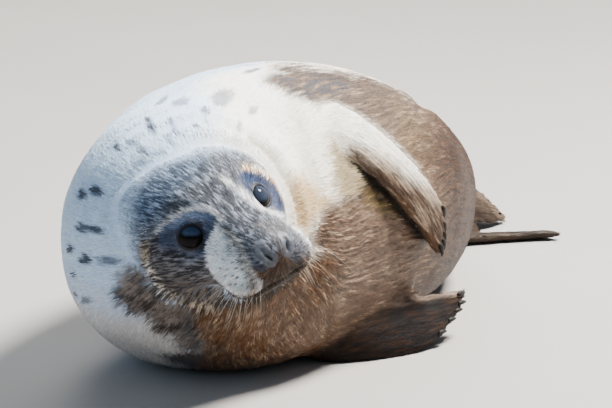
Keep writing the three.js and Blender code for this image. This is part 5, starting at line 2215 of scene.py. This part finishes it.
@dataclass
class Whiskers:
    """Rows of whiskers on the pads and a few over each eye, with places and directions on the head."""

    skin: Skin
    sides: int = 4
    rings: int = 9
    seed: int = 77
    pale: Tone = (0.52, 0.46, 0.38)
    dark: Tone = (0.030, 0.026, 0.026)
    pad_middle_mm: Place = (46, 14, -26)
    row_tilts_deg: tuple[float, ...] = (8, -6, -20, -34, -47)
    right_brow: tuple[tuple[float, float], ...] = ((-12, 34), (-18, 40), (-24, 44))
    left_brow: tuple[tuple[float, float], ...] = ((-11, 16), (-30, 50), (-38, 56))
    brow_lengths_mm: tuple[float, ...] = (40, 24, 18)

    def __post_init__(self) -> None:
        """Readies the search for roots on the skin, before its mesh is dressed."""
        faces = [tuple(face.vertices) for face in self.skin.mesh.polygons]
        self.tree = BVHTree.FromPolygons(self.skin.points.tolist(), faces)
        self.rng = np.random.default_rng(self.seed)

    def _root(self, inside: Array, way: Array) -> tuple[Array, Array] | None:
        """Where a line from inside the head along a direction leaves the skin, with the normal there."""
        start = Vector(HEAD.world(inside + way * 120))
        hit, normal, _, _ = self.tree.ray_cast(start, Vector(HEAD.turn(-way)), 0.2)
        if hit is None:
            return None
        return HEAD.local(np.array(hit)[None])[0], HEAD.axes @ np.array(normal)

    def pads(self) -> list[Bristle]:
        """The rows on both pads."""
        out = []
        for side in (-1, 1):
            middle = np.array(self.pad_middle_mm) * np.array([1, side, 1])
            for row, tilt in enumerate(np.radians(self.row_tilts_deg)):
                level = math.cos(tilt)
                for step in range(7):
                    turn = math.radians(22 + 9.5 * step + 3 * (row % 2))
                    way = np.array([math.cos(turn) * level, side * math.sin(turn) * level, math.sin(tilt)])
                    found = self._root(middle, way)
                    if found is None:
                        continue
                    root, normal = found
                    sag = np.array([-0.35, side * 0.30, -0.55])
                    lean = unit(normal * 0.75 + sag + self.rng.normal(0, 0.11, 3))
                    length = (10 + 4.5 * step + 2 * row) * self.rng.uniform(0.7, 1.2)
                    tone = self.dark if row < 2 and self.rng.random() < 0.45 else self.pale
                    thickness, droop = self.rng.uniform(0.18, 0.27), self.rng.uniform(0.1, 0.4)
                    out.append(Bristle(root, lean, length, thickness, droop, tone))
        # One long whisker of the left pad curls out over the chest.
        found = self._root(np.array(self.pad_middle_mm), unit(np.array([0.5, 0.85, -0.25])))
        if found is not None:
            lean = unit(HEAD.axes @ np.array([0.90, -0.25, -0.22]))
            out.append(Bristle(found[0], lean, 62, 0.24, 0.42, self.pale))
        return out

    def brows(self) -> list[Bristle]:
        """The long hairs over each eye."""
        out = []
        for side, places in ((-1, self.right_brow), (1, self.left_brow)):
            for (forward, left), length in zip(places, self.brow_lengths_mm):
                way = unit(np.array([0.1, 0.25 * side, 1.0]))
                found = self._root(np.array([forward, side * left, 0]), way)
                if found is None:
                    continue
                lean = unit(np.array([-0.35, 0.10 * side, 1.0]) + self.rng.normal(0, 0.10, 3))
                out.append(Bristle(found[0], lean, length, 0.26, 0.05, self.dark))
        return out

    def show(self) -> bpy.types.Object:
        """Makes all whiskers as one piece of thin tapering tubes."""
        bristles = self.pads() + self.brows()
        points, faces, tones = [], [], []
        for b in bristles:
            across = unit(np.cross(b.way, np.array([0.2, 0.3, 1.0])))
            third = np.cross(b.way, across)
            first = len(points)
            down = HEAD.axes @ np.array([0, 0, -1.0])
            for i in range(self.rings):
                t = i / (self.rings - 1)
                middle = b.root + b.way * (b.length * t - 0.8) + down * b.droop * b.length * t * t
                girth = b.thickness * (1 - 0.85 * t)
                for k in range(self.sides):
                    a = 2 * math.pi * k / self.sides
                    points.append(HEAD.world(middle + (across * math.cos(a) + third * math.sin(a)) * girth))
                    tones.append(b.tone)
            for i in range(self.rings - 1):
                for k in range(self.sides):
                    a, c = first + i * self.sides + k, first + i * self.sides + (k + 1) % self.sides
                    faces.append((a, c, c + self.sides, a + self.sides))
            faces.append(tuple(first + k for k in reversed(range(self.sides))))
            faces.append(tuple(first + (self.rings - 1) * self.sides + k for k in range(self.sides)))
        mesh = bpy.data.meshes.new("whiskers")
        places = np.array(points)
        places[:, 2] = np.maximum(places[:, 2], 0.5 * MM)
        mesh.from_pydata(places.tolist(), [], faces)
        bm = bmesh.new()
        bm.from_mesh(mesh)
        bmesh.ops.recalc_face_normals(bm, faces=bm.faces)
        bm.to_mesh(mesh)
        bm.free()
        write_attribute(mesh, "Tint", np.array(tones))
        return piece("whiskers", mesh, WhiskerFinish().build())


# ---- Studio ------------------------------------------------------------------------------------------------
@dataclass(frozen=True)
class Lamp:
    """A soft round light: its place, width, power and tone."""

    name: str
    at: Place
    size: float
    power: float
    tone: Tone


@dataclass(frozen=True)
class Studio:
    """The floor, the lights and the camera."""

    lamps: tuple[Lamp, ...] = (
        Lamp("key", (1.35, 0.45, 2.6), 0.9, 440, (1.0, 0.96, 0.90)),
        Lamp("fill", (-2.8, -2.6, 1.9), 2.6, 40, (0.52, 0.75, 1.0)),
        Lamp("rim", (-0.2, 2.6, 2.2), 1.8, 75, (1.0, 0.95, 0.88)),
    )
    aim: Place = (0.05, 0.05, 0.12)
    floor_reach: float = 14
    sky: Colour = (0.72, 0.84, 1.0, 1)
    sky_strength: float = 0.32
    camera_at: Place = (0.090851, -6.083188, 1.582843)
    camera_tilt_deg: float = 77
    lens_mm: float = 329.9
    sensor_mm: float = 36

    def build(self) -> None:
        """Makes the floor, lights, surroundings and camera."""
        bm = bmesh.new()
        bmesh.ops.create_grid(bm, x_segments=4, y_segments=4, size=self.floor_reach)
        floor = bpy.data.objects.new("floor", mesh_of(bm, "floor"))
        bpy.context.scene.collection.objects.link(floor)
        floor.data.materials.append(FloorFinish().build())
        for lamp in self.lamps:
            data = bpy.data.lights.new(lamp.name, "AREA")
            data.shape, data.size, data.energy, data.color = "DISK", lamp.size, lamp.power, lamp.tone
            obj = bpy.data.objects.new(lamp.name, data)
            obj.location = lamp.at
            obj.rotation_euler = (Vector(self.aim) - Vector(lamp.at)).to_track_quat("-Z", "Y").to_euler()
            bpy.context.scene.collection.objects.link(obj)
        world = bpy.data.worlds.new("studio")
        world.use_nodes = True
        background = world.node_tree.nodes["Background"].inputs
        background["Color"].default_value = self.sky
        background["Strength"].default_value = self.sky_strength
        bpy.context.scene.world = world
        data = bpy.data.cameras.new("camera")
        data.sensor_width, data.lens = self.sensor_mm, self.lens_mm
        data.clip_start, data.clip_end = 0.1, 60
        camera = bpy.data.objects.new("camera", data)
        camera.location = self.camera_at
        camera.rotation_euler = (math.radians(self.camera_tilt_deg), 0, 0)
        bpy.context.scene.collection.objects.link(camera)
        bpy.context.scene.camera = camera


def main() -> None:
    """Builds the seal and the studio, piece by piece."""
    logging.basicConfig(level=logging.INFO, format="%(name)s: %(message)s")
    Studio().build()
    skin = Skin()
    whiskers = Whiskers(skin)
    Coat(skin).show()
    skin.nose_leather()
    skin.show()
    Eyes().show()
    Claws(skin).show()
    whiskers.show()


if __name__ == "__main__":
    main()
